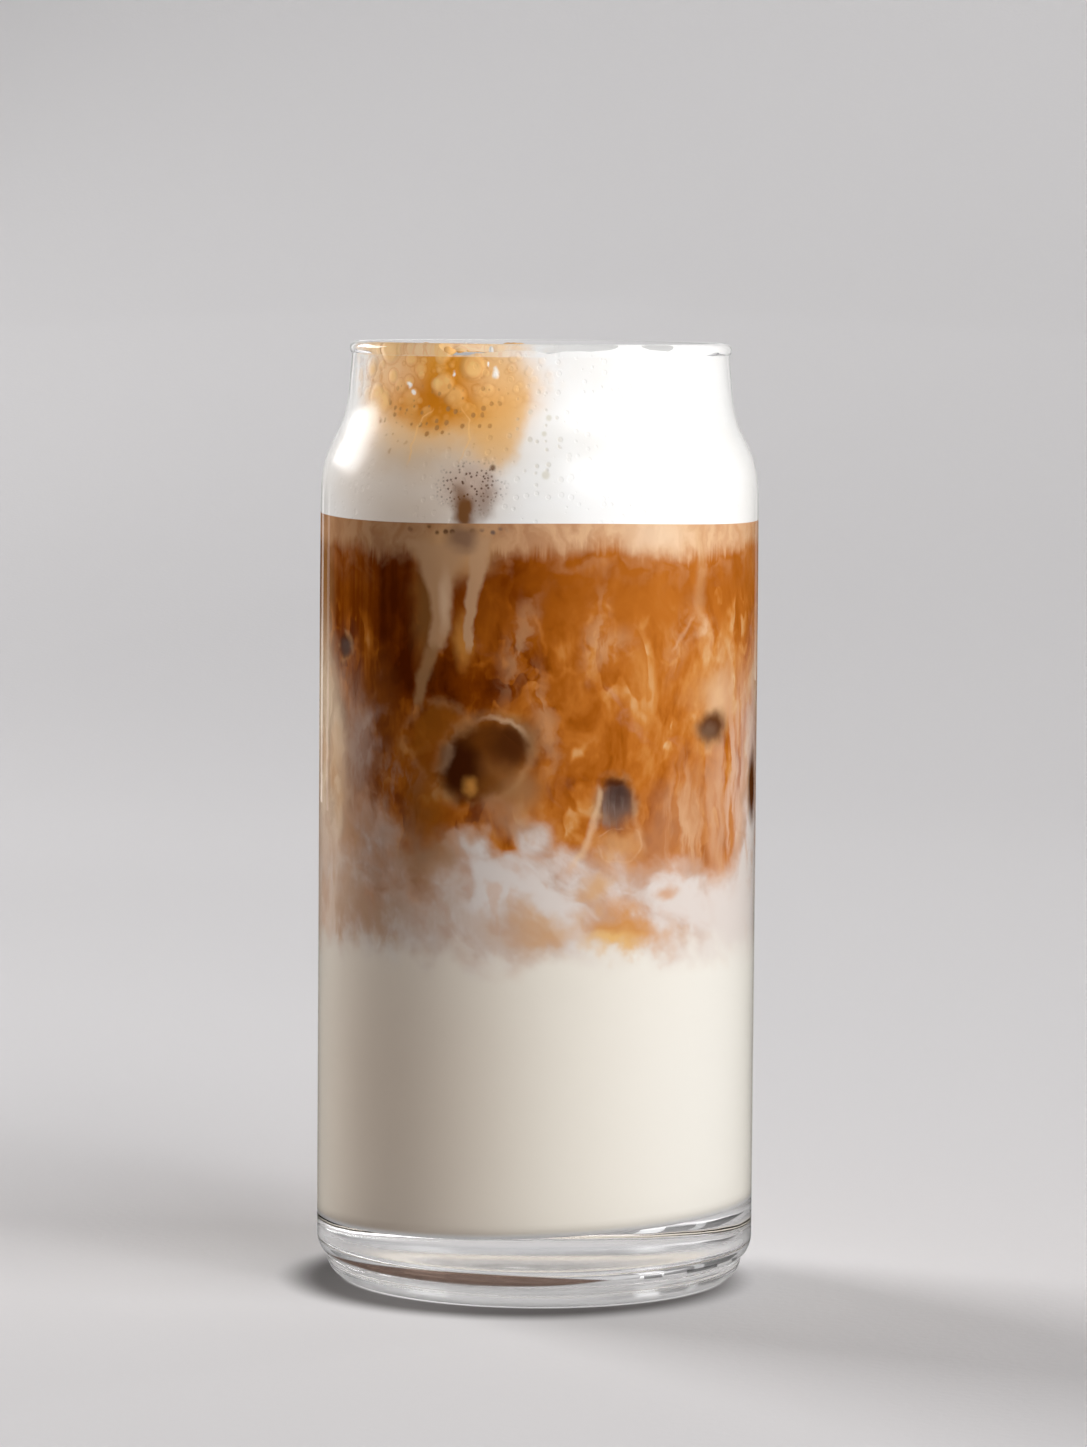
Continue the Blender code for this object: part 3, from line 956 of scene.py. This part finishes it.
# %% Ice windows
def ice_layer(paint, spot, wall, calm, loose):
    """Dark, soft-edged windows with a pale halo, where the coffee between ice and wall is thin."""
    patchy = smooth(clouds(spot, 3.2), 0.38, 0.58)
    # a larger face of the big cube shows faintly, up and to the left of its window
    paint.dab(loose, (0.26, 0.075, 0.006), -27, 91, 6.4, 5.6, 0.8, 0.4)
    paint.dabs(calm, [
        (RED_BROWN, -27, 87.5, 4, 3, 0.6),
        ((0.25, 0.075, 0.007), -31, 81, 3.6, 6, 0.7, 0.8)])
    paint.cover(TAN, outline(oval(calm, -27, 91, 6.6, 5.9, 1, 0.7), 0.34), patchy, 0.18)
    for bearing, height, half_width, half_height, lean in ICE_WINDOWS:
        at_back = abs(bearing) > 90
        swirl = loose if at_back else calm
        rim = oval(swirl, bearing, height, half_width + 0.9, half_height + 0.9, 1, 0.35, lean)
        paint.cover(TAN, rim, patchy, 0.45)
        paint.dab(swirl, DARK_ICE, bearing, height, half_width, half_height,
                  0.92 if at_back else 0.99, 0.4 if half_width > 6 else 0.72, lean)
        if at_back:
            paint.dab(swirl, (0.23, 0.08, 0.022), bearing + 3, height - 0.3 * half_height,
                      0.7 * half_width, 0.5 * half_height, 0.85, 0.9, lean)
    # painted shades, a painted golden highlight and painted lit rims of the big window
    paint.dabs(calm, [
        ((0.15, 0.042, 0.005), -13, 90, 3.2, 5, 0.8),
        ((0.27, 0.1, 0.026), -8, 84.8, 5, 3.4, 0.85),
        ((0.16, 0.048, 0.006), -14, 84, 3.6, 2, 0.8),
        (ALMOST_BLACK, -20.6, 86.6, 3.4, 4.2, 0.97, 0.7),
        ((0.07, 0.018, 0.0035), -6.2, 91.2, 3.6, 3.4, 0.95, 0.8),
        (GOLDEN, -18, 83.8, 1.2, 1.2, 0.85)])
    bearing, height, half_width, half_height, lean = ICE_WINDOWS[0]
    for colour, grow, width, painted_lighting in ((TAN, 0.9, 0.45, (-3, 88, 5, 7, 0.26)),
                                     (PEACH, 0.5, 0.22, (-7.5, 94.6, 3.6, 2.6, 0.45))):
        rim = oval(calm, bearing, height, half_width + grow, half_height + grow, 1, 0.4, lean)
        paint.cover(colour, outline(rim, width), oval(wall, *painted_lighting))
    left_edge = ((93, -22.5, 0.5), (90, -23.5, 0.8), (86.5, -26.5, 0.9))
    paint.cover((0.44, 0.25, 0.14), run(calm, left_edge, 0.9), patchy, 0.4)
    paint.dab(calm, (0.36, 0.19, 0.085), -4, 82.8, 3, 2.6, 0.55)
    paint.dab(loose, (0.4, 0.215, 0.115), -9, 78, 4, 3, 0.6)
    # the small windows, and the tan puff and pale trails under them
    rays = smooth(clouds(scaled(spot, 1, 1, 0.14), 0.9), 0.42, 0.6)
    paint.dab(calm, (0.15, 0.095, 0.076), 20.8, 81, 2.9, 3, 0.8)
    paint.dab(calm, (0.23, 0.17, 0.145), 19.6, 80.8, 1.8, 2.6, 0.6, through=rays)
    paint.dabs(calm, [
        ((0.05, 0.024, 0.018), 21.2, 83, 1.7, 1.4, 0.85),
        (ALMOST_BLACK, 21, 84.9, 1.8, 0.7, 0.7, 0.8),
        (ICE_GREY, -61.6, 104.9, 1.7, 1.2, 0.5, 0.8),
        ((0.18, 0.105, 0.065), 52.4, 91.8, 2.2, 1.5, 0.65, 0.9, -20)])
    paint.dab(loose, TAN, 22.5, 74.9, 3.4, 2.9, 0.6)
    paint.cover(PEACH, outline(oval(calm, 22.5, 74.9, 3.6, 3.1, 1, 0.7), 0.12), patchy, 0.2)
    for share, points in ((0.5, ((84.2, 16, 0.35), (77.4, 14.8, 0.55), (71.6, 9.5, 0.8))),
                          (0.12, ((84, 26, 0.4), (79, 26.4, 0.5), (74, 30, 0.6))),
                          (0.25, ((111.2, 45, 0.3), (108, 41, 0.4), (105.8, 38, 0.3)))):
        paint.cover(PEACH, run(calm, points, 0.9), share)
    paint.dab(loose, PEACH, 47.5, 110, 1.3, 1.3, 0.6)
    # leaning wisps of lighter coffee above the ice
    wispy = smooth(clouds(scaled(loose, 1, 0.4, 1), 2.4, 3), 0.36, 0.6)
    for bearing, height, half_width, half_height, lean in (
            (-5, 107, 1.8, 7.5, 16), (15, 109, 1.6, 5.5, 10), (20, 106.5, 3.6, 2.2, -20),
            (41, 107.5, 1.8, 5.5, 24), (51, 107, 1.8, 5, -24), (2, 94, 1.6, 7, -10)):
        paint.dab(calm, WISP, bearing, height, half_width, half_height, 0.34, 1, lean, through=wispy)


# %% Drips and haze under the foam
def foam_edge_layer(paint, spot, wall, calm, loose):
    """The pale haze that hangs from the foam, its fine fringe, and the two long drips, with painted
    highlight and shade.
    """
    teeth = less(clouds(scaled(spot, 1, 1, 0.1), 0.9, 3, 0.6), 0.5)
    uneven = smooth(clouds(spot, 5), 0.38, 0.62, 0.8, 5)
    hanging = total(xyz(calm)["Y"], product(teeth, uneven),
                    oval(wall, -37, 121, 14, 9, 1, 1),
                    oval(wall, 38, 121, 11, 9, 0.8, 1),
                    oval(wall, 18, 121, 4, 9, -1.2, 1))
    veil = smooth(hanging, 114.5, 122.5, 0, 0.3)
    haze = most(smooth(hanging, 119.8, 123.2),
                product(veil, smooth(clouds(loose, 5), 0.42, 0.62)))
    thick = smooth(clouds(scaled(loose, 1, 0.45, 1), 2.8, 3), 0.34, 0.62, 0.62, 0.98)
    fog = mixed(oval(wall, 40, 123.5, 19, 9, 1, 1), (0.59, 0.315, 0.16), (0.73, 0.475, 0.28))
    fog = mixed(oval(wall, -42, 123, 17, 9), fog, (0.44, 0.235, 0.115))
    paint.cover(fog, haze, thick)
    paint.dabs(calm, [
        ((0.8, 0.6, 0.42), 33, 123.8, 5, 2.2, 0.6),
        (TAN, 48, 117, 1.1, 8, 0.35),
        (TAN, -22, 121.5, 5.6, 4, 0.75, 0.8),
        (GOLDEN, -20.3, 107.2, 1.3, 3.4, 0.75),
        ((0.2, 0.085, 0.022), -31.5, 112, 2.2, 8, 0.8)])

    left = run(calm, ((122.5, -28, 6.5), (120, -28, 4.2), (117, -27.4, 2.7), (112.9, -26.6, 2),
                      (108.3, -27, 1.9), (105.2, -28, 1.1)), 0.35, 0.9)
    tail = run(calm, ((106, -29, 1.3), (103, -31, 1.3), (100.2, -32.6, 1.2), (96.2, -33.2, 0.8)), 0.5)
    right = run(calm, ((123.5, -16, 2), (117.5, -16.6, 1.3), (113.1, -17.8, 0.95),
                       (109.9, -18.2, 0.75), (106.2, -19, 0.4)), 0.4)
    paint.cover((0.475, 0.268, 0.138), left, 0.9)
    paint.cover((0.34, 0.17, 0.07), tail, 0.85)
    paint.cover((0.52, 0.3, 0.16), right, 0.9)
    # a painted highlight down the left drip, and painted shade just under the foam between the drips
    paint.dabs(calm, [
        ((0.66, 0.44, 0.28), -25.4, 113.5, 0.9, 4, 0.7),
        ((0.185, 0.098, 0.062), -20.8, 123.4, 2.3, 1.9, 0.8, 0.8)])
    dots = cells(spot, 1.25)["Distance"]
    paint.dabs(calm, [
        ((0.09, 0.035, 0.014), -28, 124.6, 5, 0.8, 0.85, 0.8),
        ((0.13, 0.085, 0.075), -13, 124.5, 2, 0.7, 0.85, 0.8)], through=smooth(dots, 0.5, 0.22))


# %% The whole pattern
def drink_pattern():
    """A node group that gives the drink's colour at every point of its skin."""
    tree = new_group("drink_pattern", Color="Color")
    spot = place_mm()
    wall = wall_place(spot)
    fine, middling, large = eddy(spot, 2.4, 3), eddy(spot, 7.5), eddy(spot, 21)
    calm = stirred(wall, (fine, 1.3), (middling, 2.4))
    loose = stirred(wall, (fine, 3.4), (middling, 9))
    wild = stirred(loose, (large, 16))

    paint = Painting(ground(spot, wall, calm, loose, xyz(wild)["Y"]))
    for layer in (cloud_layer, ice_layer, foam_edge_layer):
        layer(paint, spot, wall, calm, loose)
    fill(tree.nodes.new("NodeGroupOutput"), {"Color": paint.colour})
    return tree


def drink_finish(name, pattern):
    """A matt, opaque drink that takes its colour from the shared pattern, painted whiter underneath
    as painted light for the glass base.
    """
    made, shader = new_material(name)
    skin = add("Group", node_tree=pattern)
    facing_down = smooth(xyz(add("NewGeometry").outputs["Normal"])["Z"], -0.5, -0.9)
    fill(shader, {"Base Color": mixed(facing_down, skin.outputs["Color"], PAINTED_LIGHT_UNDERSIDE),
                  "Roughness": 0.5, "Specular IOR Level": 0})
    return made


pattern = drink_pattern()
milk.data.materials.append(drink_finish("cold_milk", pattern))
coffee.data.materials.append(drink_finish("milky_coffee", pattern))
print("pattern nodes", len(pattern.nodes))

# %% [markdown]
# ## Foam and crema
# The foam fills the shoulder and the neck up to the lip. The crema is a pool of golden bubbles
# that lies in it at the front left, so the two are cut from one turned body: a ragged egg is
# taken out of the foam with a Boolean, and what the egg and the body share is the crema.

# %% Body of foam
FOAM_TOP = 153.2
FOAM_RELIEF = 0.55
FOAM_LUMP = 8


def foam_top_lift(x, y, z):
    """Soft lumps on top of the foam, and small dips and crumbs between them."""
    place = Vector((x, y, 0))
    lumps = noise.noise(place / FOAM_LUMP) + 0.35 * noise.noise(place / 2.6)
    return FOAM_RELIEF * (lumps - 0.35) * near(z, FOAM_TOP, 4)


section = [(share * drink_radius, FOAM_LINE) for share in between(0, 0.96, 8)]
section += wall_points(WALL - REACH, FOAM_LINE, FOAM_TOP, 30)
neck = outer_radius(FOAM_TOP) - WALL + REACH
section += [(share * neck, FOAM_TOP) for share in between(0.985, 0, 40)]
foam = turned("foam", section)
moved(foam, lambda x, y, z: foam_line_lift(x, y, z) + foam_top_lift(x, y, z))
print("foam faces before the pool is cut out", len(foam.data.polygons))

# %% The pool of crema, cut out of the foam
CREMA_BEARING = math.radians(-40)
CREMA_RADIUS = 24.5
CREMA_HEIGHT = 149.5
CREMA_HALF_SIZES = (17.8, 12.5, 12.5)
CREMA_RAGGED = 1.3
COARSE_MM = 9
FINE_MM = 3.5

crema_middle = Vector((CREMA_RADIUS * math.sin(CREMA_BEARING),
                       -CREMA_RADIUS * math.cos(CREMA_BEARING), CREMA_HEIGHT))
deselect()
bpy.ops.mesh.primitive_ico_sphere_add(subdivisions=5, radius=MM)
egg = bpy.context.object
egg.name = "crema_egg"
egg.scale = CREMA_HALF_SIZES
egg.rotation_euler.z = CREMA_BEARING
egg.location = crema_middle * MM
settle_place(egg)
for vertex in egg.data.vertices:
    rough = noise.noise(vertex.co / (COARSE_MM * MM)) + 0.5 * noise.noise(vertex.co / (FINE_MM * MM))
    vertex.co += vertex.normal * CREMA_RAGGED * MM * rough

choose(foam)
bpy.ops.object.duplicate()
crema = bpy.context.object
crema.name = "crema_pool"
add_modifier(crema, "BOOLEAN", object=egg, operation="INTERSECT", solver="EXACT")
add_modifier(foam, "BOOLEAN", object=egg, operation="DIFFERENCE", solver="EXACT")
bpy.data.objects.remove(egg)
for piece, node in ((foam, "milk_foam"), (crema, "crema")):
    choose(piece)
    bpy.ops.object.shade_smooth_by_angle(angle=math.radians(40))
    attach(piece, "root")
    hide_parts(node)
print("foam", len(foam.data.polygons), "crema", len(crema.data.polygons), "faces")

# %% [markdown]
# The biggest bubbles stand up from the crema and the smallest sit all over the foam. Each bubble
# is a sphere, and gets its own size and place from a rule: the radius out from the middle grows
# evenly while the angle turns by the golden angle, which spreads them like seeds in a sunflower.
# Only the caps that stand out can be seen.

# %% Bubbles on top
GOLDEN_ANGLE = math.radians(137.508)
SIZE_BEAT = 12.9898
SUNK = 0.55
CREMA_BUBBLES = 70
FOAM_BUBBLES = 240


def joined(pieces, name):
    """Joins pieces into one."""
    deselect()
    for piece in pieces:
        piece.select_set(True)
    bpy.context.view_layer.objects.active = pieces[0]
    bpy.ops.object.join()
    bpy.context.object.name = name
    return bpy.context.object


def bubble(middle_mm, radius):
    """One bubble, finer where it is large."""
    deselect()
    bpy.ops.mesh.primitive_ico_sphere_add(subdivisions=3 if radius > 1 else 2, radius=radius * MM,
                                          location=Vector(middle_mm) * MM)
    made = bpy.context.object
    settle_place(made)
    return made


def top_bubbles(name, count, middle, reach, radii, edge):
    """Bubbles spread round a middle on the foam's top, kept inside the glass."""
    made = []
    for i in range(count):
        out = reach * math.sqrt((i + 0.5) / count)
        x = middle[0] + out * math.cos(i * GOLDEN_ANGLE)
        y = middle[1] + out * math.sin(i * GOLDEN_ANGLE)
        share = 0.5 + 0.5 * math.sin(SIZE_BEAT * i)
        radius = radii[0] + (radii[1] - radii[0]) * share ** 3
        far = math.hypot(x, y)
        if far > edge - radius:
            x, y = x * (edge - radius) / far, y * (edge - radius) / far
        top = FOAM_TOP + foam_top_lift(x, y, FOAM_TOP)
        made.append(bubble((x, y, top - SUNK * radius), radius))
    choose(joined(made, name))
    bpy.ops.object.shade_smooth()
    return bpy.context.object


inner_neck = NECK_RADIUS - WALL
pool = (CREMA_RADIUS * 0.8 * math.sin(CREMA_BEARING), -CREMA_RADIUS * 0.8 * math.cos(CREMA_BEARING))
crema_bubbles = top_bubbles("crema_bubbles", CREMA_BUBBLES, pool, 10.5, (0.35, 1.7), inner_neck)
foam_bubbles = top_bubbles("foam_bubbles", FOAM_BUBBLES, (0, 0), inner_neck, (0.14, 0.5), inner_neck)
for piece, slot in ((crema_bubbles, "crema"), (foam_bubbles, "foam")):
    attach(piece, "root")
print("bubbles", len(crema_bubbles.data.polygons) + len(foam_bubbles.data.polygons), "faces")

# %% [markdown]
# The crema is painted from its pale rim in to its deep middle, and bubbles of three sizes lie over
# it: cells of a cell pattern, each a ball of painted light inside a ring of painted shade. Light
# soaks through real foam, and here that light is painted in: the crema and the foam beside it
# glow weakly in their own colour.

# %% Colours of foam and crema
FOAM_WHITE = (0.905, 0.895, 0.88)
FOAM_CREAM = (0.88, 0.86, 0.83)
FOAM_PAINTED_SHADE = (0.64, 0.48, 0.35)
FOAM_DIMPLE = (0.7, 0.66, 0.56)
CREMA_FAINT = (0.82, 0.57, 0.33)
CREMA_PALE = (0.76, 0.395, 0.115)
CREMA_GOLD = (0.7, 0.275, 0.025)
CREMA_DEEP = (0.53, 0.165, 0.004)
CREMA_GLOW = (0.93, 0.56, 0.21)
SPECK_BROWN = (0.07, 0.025, 0.01)
PAINTED_GLINT = (0.98, 0.95, 0.88)
BUBBLE_CREAM = (0.82, 0.76, 0.68)


# %% Foam and crema pattern
def pool_depth(place):
    """How deep a place lies in the pool of crema, seen from above: 0 at its rim, 1 in its middle."""
    flat = vector("SUBTRACT", place, (crema_middle.x, crema_middle.y, 0))
    turned_back = add("VectorRotate", {"Vector": flat, "Angle": -CREMA_BEARING},
                      rotation_type="Z_AXIS").outputs[0]
    share = vector("DIVIDE", turned_back, (CREMA_HALF_SIZES[0], CREMA_HALF_SIZES[1], 1e6))
    return add("TexGradient", {0: share}, gradient_type="SPHERICAL").outputs["Fac"]


def foam_pattern():
    """A node group for foam and crema: its colour with painted light and shade, its painted glow, and
    the relief of its bubbles.
    """
    tree = new_group("foam_pattern", Color="Color", Glow="Color", Relief="Float")
    spot = place_mm()
    wall = wall_place(spot)
    fine, middling = eddy(spot, 1.8, 3), eddy(spot, 5.5)
    calm = stirred(wall, (fine, 1.2), (middling, 2.4))
    loose = stirred(wall, (fine, 3), (middling, 7))
    tone = clouds(spot, 12, 3)
    paint = Painting(mixed(smooth(tone, 0.35, 0.65), FOAM_WHITE, FOAM_CREAM))
    # painted tan shade under the pool and warmer painted shade on the foam's left, then the pool from
    # its rim to its middle
    paint.dabs(calm, [
        (FOAM_PAINTED_SHADE, -36, 128.5, 11, 5.2, 0.85, 1),
        ((0.8, 0.69, 0.585), -48, 133.5, 14, 7.5, 0.8, 1),
        ((0.66, 0.44, 0.25), -34, 138.5, 14, 5, 0.75),
        (CREMA_FAINT, -36, 147.5, 17.5, 10.5, 0.92, 0.6),
        (CREMA_FAINT, -13, 143.5, 5.4, 9, 0.95, 0.4),
        (CREMA_PALE, -31, 146.5, 15, 8, 0.9, 0.7),
        (CREMA_PALE, -14, 142.5, 4.4, 7, 0.65, 0.7),
        (CREMA_GOLD, -33, 147.5, 13, 6.6, 0.95, 0.6),
        (CREMA_DEEP, -35, 145.2, 8, 3.6, 0.9),
        ((0.88, 0.6, 0.36), -51, 149.5, 5.5, 4, 0.6),
        ((0.9, 0.62, 0.34), -14, 149, 4.5, 4, 0.5)])
    # the top of the foam, with the pool seen from above
    above = smooth(xyz(spot)["Z"], 151.8, 152.4)
    depth = pool_depth(stirred(spot, (fine, 1.5), (middling, 5)))
    paint.cover(FOAM_WHITE, above)
    paint.cover(CREMA_GLOW, above, smooth(depth, 0, 0.3, 0, 0.7))
    paint.cover(CREMA_PALE, above, smooth(depth, 0.35, 0.9, 0, 0.6))

    golden = oval(calm, -38, 149.5, 20, 6.5, 1, 0.7)
    domes = 0
    # each bubble: a ball of painted light inside a ring of painted shade
    for size_mm, share in ((1.6, 0.36), (2.9, 0.52), (4.9, 0.55)):
        cell = cells(spot, size_mm)
        lone = smooth(rgb(cell["Color"])[1], 0.05, 0.55)
        ball = product(smooth(cell["Distance"], 0.5, 0.26), lone)
        ring = product(outline(smooth(cell["Distance"], 0.62, 0.4), 0.45), lone)
        paint.cover(CREMA_DEEP, product(golden, ring, 0.25))
        paint.cover(CREMA_GLOW, product(golden, ball, share))
        domes = most(domes, product(ball, 0.17 * size_mm))

    # small open bubbles along the wall
    cell = cells(wall, 1.7, voronoi_dimensions="2D")
    size = smooth(rgb(cell["Color"])[0], 0.15, 1, 0.03, 0.29)
    hole = smooth(less(cell["Distance"], size), 0.02, -0.08)
    paint.dab(loose, (0.4, 0.185, 0.055), -35, 142, 14, 5, 0.9, 0.7, through=hole)
    paint.dab(wall, (0.66, 0.6, 0.5), 0, 139, 4, 7, 0.55, 0.8, through=hole)

    # the brown smudge with its specks, the dimples, and painted glints (highlights) on bubbles
    speck = smooth(cells(spot, 0.62)["Distance"], 0.34, 0.24)
    paint.dab(calm, (0.5, 0.33, 0.24), -18.5, 131.5, 4.2, 3, 0.7, 0.8)
    paint.dab(calm, SPECK_BROWN, -18.6, 131.6, 4.6, 3.2, 0.95, 0.7, through=speck)
    paint.dabs(calm, [
        ((0.19, 0.075, 0.022), -20.2, 127.6, 1.7, 3.4, 1, 0.8, -8),
        ((0.24, 0.14, 0.09), -14.8, 129, 1.6, 3, 0.6, 0.9, 14)])
    paint.dab(wall, (0.2, 0.11, 0.06), -12.7, 134.3, 0.45, 0.45, 0.9, 0.7)
    for bearing, height, radius in ((1.6, 133.3, 0.62), (2.6, 142.2, 0.5), (1.2, 139.6, 0.42)):
        paint.dab(wall, FOAM_DIMPLE, bearing, height, radius, radius, 0.8, 0.6)
    for bearing, height, radius in ((-43.5, 147.2, 0.44), (-42.2, 145.9, 0.34), (-27.4, 149, 0.28),
                                    (-14, 148.9, 0.55), (-16.6, 150.4, 0.26)):
        paint.dab(calm, PAINTED_GLINT, bearing, height, radius, 1.3 * radius, 0.9, 0.8)
    for points in (((143.6, -33.5, 0.16), (140, -38, 0.14), (135, -38.6, 0.12)),
                   ((143, -24, 0.16), (139.6, -21.2, 0.14), (135.4, -22.8, 0.12))):
        paint.cover(CREMA_GLOW, run(calm, points, 0.7), 0.55)

    # painted glow: weak light given out by the crema and by the foam at its left
    painted_lighting = most(oval(wall, -38, 146.5, 20, 9.5), oval(wall, -44, 134.5, 17, 9, 0.34))
    fill(tree.nodes.new("NodeGroupOutput"), {
        "Color": paint.colour,
        "Glow": mixed(painted_lighting, (0, 0, 0), paint.colour),
        "Relief": total(product(golden, domes), product(hole, -0.1), product(tone, 0.15))})
    return tree


def foam_finish(name, pattern, roughness):
    """Foam or crema: matt, with the bubbles' relief and a weak painted glow."""
    made, shader = new_material(name)
    skin = add("Group", node_tree=pattern).outputs
    fill(shader, {"Base Color": skin["Color"], "Roughness": roughness, "Specular IOR Level": 0.15,
                  "Emission Color": skin["Glow"], "Emission Strength": 0.38,
                  "Normal": bump(skin["Relief"], 0.6, 0.0006)})
    return made


def bubble_finish(name, low, high, roughness):
    """Shiny bubbles whose colour drifts from one to the next."""
    made, shader = new_material(name)
    drift = smooth(clouds(place_mm(), 3), 0.35, 0.65)
    fill(shader, {"Base Color": mixed(drift, low, high), "Roughness": roughness})
    return made


foam_colours = foam_pattern()
foam.data.materials.append(foam_finish("milk_foam", foam_colours, 0.6))
crema.data.materials.append(foam_finish("golden_crema", foam_colours, 0.4))
crema_bubbles.data.materials.append(bubble_finish("crema_bubble_skin", CREMA_PALE, CREMA_GLOW, 0.12))
foam_bubbles.data.materials.append(bubble_finish("foam_bubble_skin", BUBBLE_CREAM, FOAM_WHITE, 0.3))
print("foam pattern nodes", len(foam_colours.nodes))

# %% [markdown]
# ## Ice
# The cubes are sunk in the coffee and only show where a rounded corner has melted flat against
# the glass. Each cube is beveled, its corners shaken a little, softened by subdivision and cast
# towards a ball as melting ice is. It is sized for its window, pushed out until it meets the
# wall, and pressed flat there.

# %% Ice cubes
ICE_DEPTH = 9
ICE_FACE = drink_radius + 0.05
SMALLEST_SIDE = 5


def ice_cube(bearing_deg, height, half_width, half_height, lean_deg, seed):
    """One melting cube, pressed flat against the wall at its window."""
    poke = (0.8 * half_width) ** 2 * 0.042 + 0.12
    side = max(1.25 * half_width, SMALLEST_SIDE)
    tall = 0.8 * half_height * math.sqrt(ICE_DEPTH / (2 * poke)) + 0.5
    deselect()
    bpy.ops.mesh.primitive_cube_add(size=2 * MM)
    cube = bpy.context.object
    to_mode("EDIT")
    bpy.ops.mesh.select_all(action="SELECT")
    bpy.ops.mesh.bevel(offset=0.35 * MM, segments=2)
    bpy.ops.transform.vertex_random(offset=0.05 * MM, seed=seed)
    to_mode("OBJECT")
    add_modifier(cube, "SUBSURF", levels=2, render_levels=2)
    add_modifier(cube, "CAST", factor=0.62, radius=1.25 * MM)
    cube.scale = (side, ICE_DEPTH, max(tall, SMALLEST_SIDE))
    turn = math.radians(bearing_deg)
    out = drink_radius + poke - ICE_DEPTH * 1.25
    cube.rotation_euler = (0, math.radians(lean_deg), turn)
    cube.location = Vector((out * math.sin(turn), -out * math.cos(turn), height)) * MM
    settle_place(cube)
    for vertex in cube.data.vertices:
        far = math.hypot(vertex.co.x, vertex.co.y) / MM
        if far > ICE_FACE:
            vertex.co.x *= ICE_FACE / far
            vertex.co.y *= ICE_FACE / far
    choose(cube)
    bpy.ops.object.shade_smooth()
    return cube


ice = joined([ice_cube(*window, seed=i) for i, window in enumerate(ICE_WINDOWS)], "ice_cubes")
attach(ice, "root")
ice.data.materials.append(drink_finish("ice_in_coffee", pattern))
print("ice", len(ice.data.polygons), "faces")
